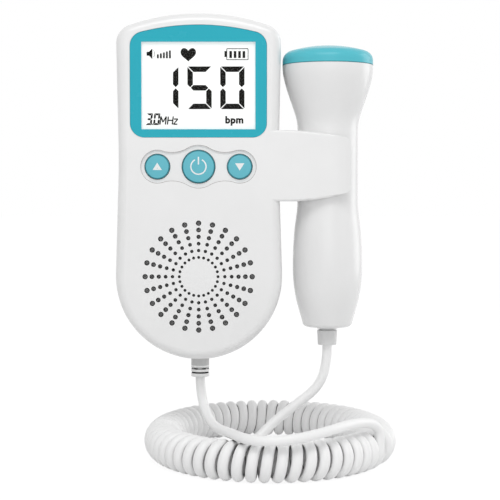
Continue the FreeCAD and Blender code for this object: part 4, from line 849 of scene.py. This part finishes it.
def bent_strips(name, x, z, radius, height, places, span, material, body):
    """Thin strips bent round an upright axis, each by an angle of span about its place."""
    steps = max(STRIP_FEWEST_STEPS, round(span / STRIP_STEP))
    profile = ((radius, -height / 2), (radius, height / 2), (radius - STRIP_DEPTH, height / 2),
               (radius - STRIP_DEPTH, -height / 2))
    shape = bmesh.new()
    for middle in places:
        rows = []
        for i in range(steps + 1):
            angle = math.radians(middle + span * (i / steps - 0.5))
            across, forward = math.sin(angle), -math.cos(angle)
            rows.append([shape.verts.new(((x + across * r) * MM, (CORD_Y + forward * r) * MM,
                                          (z + w) * MM)) for r, w in profile])
        for near, far in zip(rows, rows[1:]):
            for j in range(4):
                k = (j + 1) % 4
                shape.faces.new((near[j], far[j], far[k], near[k]))
        shape.faces.new(rows[0])
        shape.faces.new(list(reversed(rows[-1])))
    bmesh.ops.recalc_face_normals(shape, faces=shape.faces)
    return drawn(name, shape, material, body)


# ---------------------------------------------------------------- cord
def nurbs_curve(name, points, bevel, swell=None):
    curve = bpy.data.curves.new(name, "CURVE")
    curve.dimensions = "3D"
    spline = curve.splines.new("NURBS")
    spline.points.add(len(points) - 1)
    for control, place in zip(spline.points, points):
        control.co = (*place, 1.0)
    for control, factor in zip(spline.points, swell or []):
        control.radius = factor
    spline.order_u = 3
    spline.use_endpoint_u = True
    spline.resolution_u = 4
    curve.bevel_depth = bevel
    curve.bevel_resolution = 5
    curve.use_fill_caps = True
    return placed(name, curve)


def coil_line():
    """The oval ring's centre line in fine steps: the angles, the points and the run up to each."""
    angles = [HELIX_FIRST_ANGLE + (HELIX_LAST_ANGLE - HELIX_FIRST_ANGLE) * i / COIL_FINE_STEPS
              for i in range(COIL_FINE_STEPS + 1)]
    line = [(COIL_HALF_WIDTH * math.cos(a), COIL_HALF_DEPTH * math.sin(a)) for a in angles]
    run = [0.0]
    for near, far in zip(line, line[1:]):
        run.append(run[-1] + math.dist(near, far))
    return angles, line, run


def helix_points():
    """Even turns round the oval ring, from where the main lead comes over it."""
    angles, line, run = coil_line()
    part_turn = (HELIX_FIRST_TILT - HELIX_LAST_TILT) / (2 * math.pi)
    turns = round(run[-1] / HELIX_PITCH) + part_turn
    count = round(turns * POINTS_A_TURN)
    points = []
    j = 0
    for i in range(count + 1):
        while j < COIL_FINE_STEPS and run[j] < run[-1] * i / count:
            j += 1
        out_x = math.cos(angles[j]) / COIL_HALF_WIDTH
        out_y = math.sin(angles[j]) / COIL_HALF_DEPTH
        tilt = HELIX_FIRST_TILT - 2 * math.pi * turns * i / count
        reach = HELIX_RADIUS * math.cos(tilt) / math.hypot(out_x, out_y)
        points.append((COIL_CENTRE[0] + line[j][0] + out_x * reach,
                       COIL_CENTRE[1] + line[j][1] + out_y * reach,
                       COIL_CENTRE[2] + HELIX_RADIUS * math.sin(tilt)))
    return points


def line_length(points):
    return sum((Vector(b) - Vector(a)).length for a, b in zip(points, points[1:]))


def centreline(name, points):
    """Points along the middle of a cord."""
    bare = nurbs_curve(name + "_line", points, 0.0)
    mesh = bpy.data.meshes.new_from_object(bare)
    places = [tuple(v.co) for v in mesh.vertices]
    bpy.data.objects.remove(bare)
    return places


def add_curly_cord():
    """The main lead and the coil, which are one cord."""
    coil_points = MAIN_LEAD_POINTS + helix_points()
    lead_count = len(MAIN_LEAD_POINTS)
    swell = [1.0] * lead_count + [COIL_SWELL] * (len(coil_points) - lead_count)
    curly = nurbs_curve("curly_cord", coil_points, CORD_DIAMETER / 2, swell)
    curly.data.materials.append(MATERIALS["cord"])
    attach(curly, "console")
    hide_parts("cord_main_lead", "cord_coil")
    length = line_length(centreline("curly_cord", coil_points))


def add_probe_lead():
    """The lead from the probe to the coil's other end."""
    line = centreline("probe_lead", PROBE_LEAD_POINTS)
    tube = nurbs_curve("probe_lead_tube", PROBE_LEAD_POINTS, CORD_DIAMETER / 2)
    tube.data.splines[0].resolution_u = 8
    mesh = bpy.data.meshes.new_from_object(tube)
    bpy.data.objects.remove(tube)
    lead = painted("probe_lead", mesh, "cord")
    for face in mesh.polygons:
        face.use_smooth = True
    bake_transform(lead)
    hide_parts("cord_probe_lead")


# ---------------------------------------------------------------- scene
def seen_rays(nodes, links):
    """One for rays that show the background: from the camera, by gloss or through glass."""
    paths = nodes.new("ShaderNodeLightPath")
    total = paths.outputs["Is Camera Ray"]
    for kind in ("Is Glossy Ray", "Is Transmission Ray"):
        add = nodes.new("ShaderNodeMath")
        add.operation = "ADD"
        add.use_clamp = True
        links.new(total, add.inputs[0])
        links.new(paths.outputs[kind], add.inputs[1])
        total = add.outputs["Value"]
    return total


def add_floor():
    """White floor that keeps the shadow. Its own light brings it up to the background, only for
    the rays that show it.
    """
    mesh = bpy.data.meshes.new("floor")
    height = COIL_CENTRE[2] - FLOOR_DROP
    corners = [(x * FLOOR_REACH, y * FLOOR_REACH, height)
               for x, y in ((-1, -1), (1, -1), (1, 1), (-1, 1))]
    mesh.from_pydata(corners, [], [(0, 1, 2, 3)])
    floor = placed("floor", mesh)
    material = bpy.data.materials.new("floor_white")
    material.use_nodes = True
    nodes, links = material.node_tree.nodes, material.node_tree.links
    bsdf = nodes["Principled BSDF"]
    bsdf.inputs["Base Color"].default_value = (FLOOR_GREY, FLOOR_GREY, FLOOR_GREY, 1.0)
    bsdf.inputs["Roughness"].default_value = FLOOR_ROUGHNESS
    light = nodes.new("ShaderNodeEmission")
    light.inputs["Strength"].default_value = FLOOR_GLOW
    share = nodes.new("ShaderNodeMath")
    share.operation = "MULTIPLY"
    share.inputs[1].default_value = FLOOR_GLOW_SHARE
    links.new(seen_rays(nodes, links), share.inputs[0])
    mix = nodes.new("ShaderNodeMixShader")
    links.new(share.outputs["Value"], mix.inputs["Fac"])
    links.new(bsdf.outputs["BSDF"], mix.inputs[1])
    links.new(light.outputs["Emission"], mix.inputs[2])
    links.new(mix.outputs["Shader"], nodes["Material Output"].inputs["Surface"])
    mesh.materials.append(material)


def add_world():
    """Even studio light, with plain white behind."""
    world = bpy.data.worlds.new("studio")
    bpy.context.scene.world = world
    world.use_nodes = True
    nodes, links = world.node_tree.nodes, world.node_tree.links
    background = nodes["Background"]
    background.inputs["Color"].default_value = (1.0, 1.0, 1.0, 1.0)
    background.inputs["Strength"].default_value = WORLD_LEVEL
    white = nodes.new("ShaderNodeBackground")
    white.inputs["Color"].default_value = (1.0, 1.0, 1.0, 1.0)
    white.inputs["Strength"].default_value = 1.0
    mix = nodes.new("ShaderNodeMixShader")
    links.new(seen_rays(nodes, links), mix.inputs["Fac"])
    links.new(background.outputs["Background"], mix.inputs[1])
    links.new(white.outputs["Background"], mix.inputs[2])
    links.new(mix.outputs["Shader"], nodes["World Output"].inputs["Surface"])


def add_lamp(name, place, target, size, power):
    lamp = bpy.data.lights.new(name, "AREA")
    lamp.shape = "RECTANGLE"
    lamp.size, lamp.size_y = size
    lamp.energy = power
    holder = placed(name, lamp)
    holder.location = place
    aim = Vector(target) - Vector(place)
    holder.rotation_mode = "QUATERNION"
    holder.rotation_quaternion = aim.to_track_quat("-Z", "Y")


def add_camera():
    lens = bpy.data.cameras.new("camera")
    lens.lens = CAMERA_LENS
    lens.sensor_width = CAMERA_SENSOR_WIDTH
    lens.clip_start = CAMERA_NEAREST
    camera = placed("camera", lens)
    camera.location = CAMERA_PLACE
    camera.rotation_euler = (math.pi / 2 - math.atan(CAMERA_DROP), 0.0, 0.0)
    bpy.context.scene.camera = camera


paint_nodes()
add_marks()
add_symbols()
add_button_rim_shade()
add_pocket_edge_shade()
add_button_gaps()
add_grille_rims()
add_parting_lines()
for strip in STRIPS:
    bent_strips(*strip)
add_curly_cord()
add_probe_lead()
add_floor()
add_world()
for lamp in LAMPS:
    add_lamp(*lamp)
add_camera()
bpy.context.scene.view_settings.view_transform = "Standard"
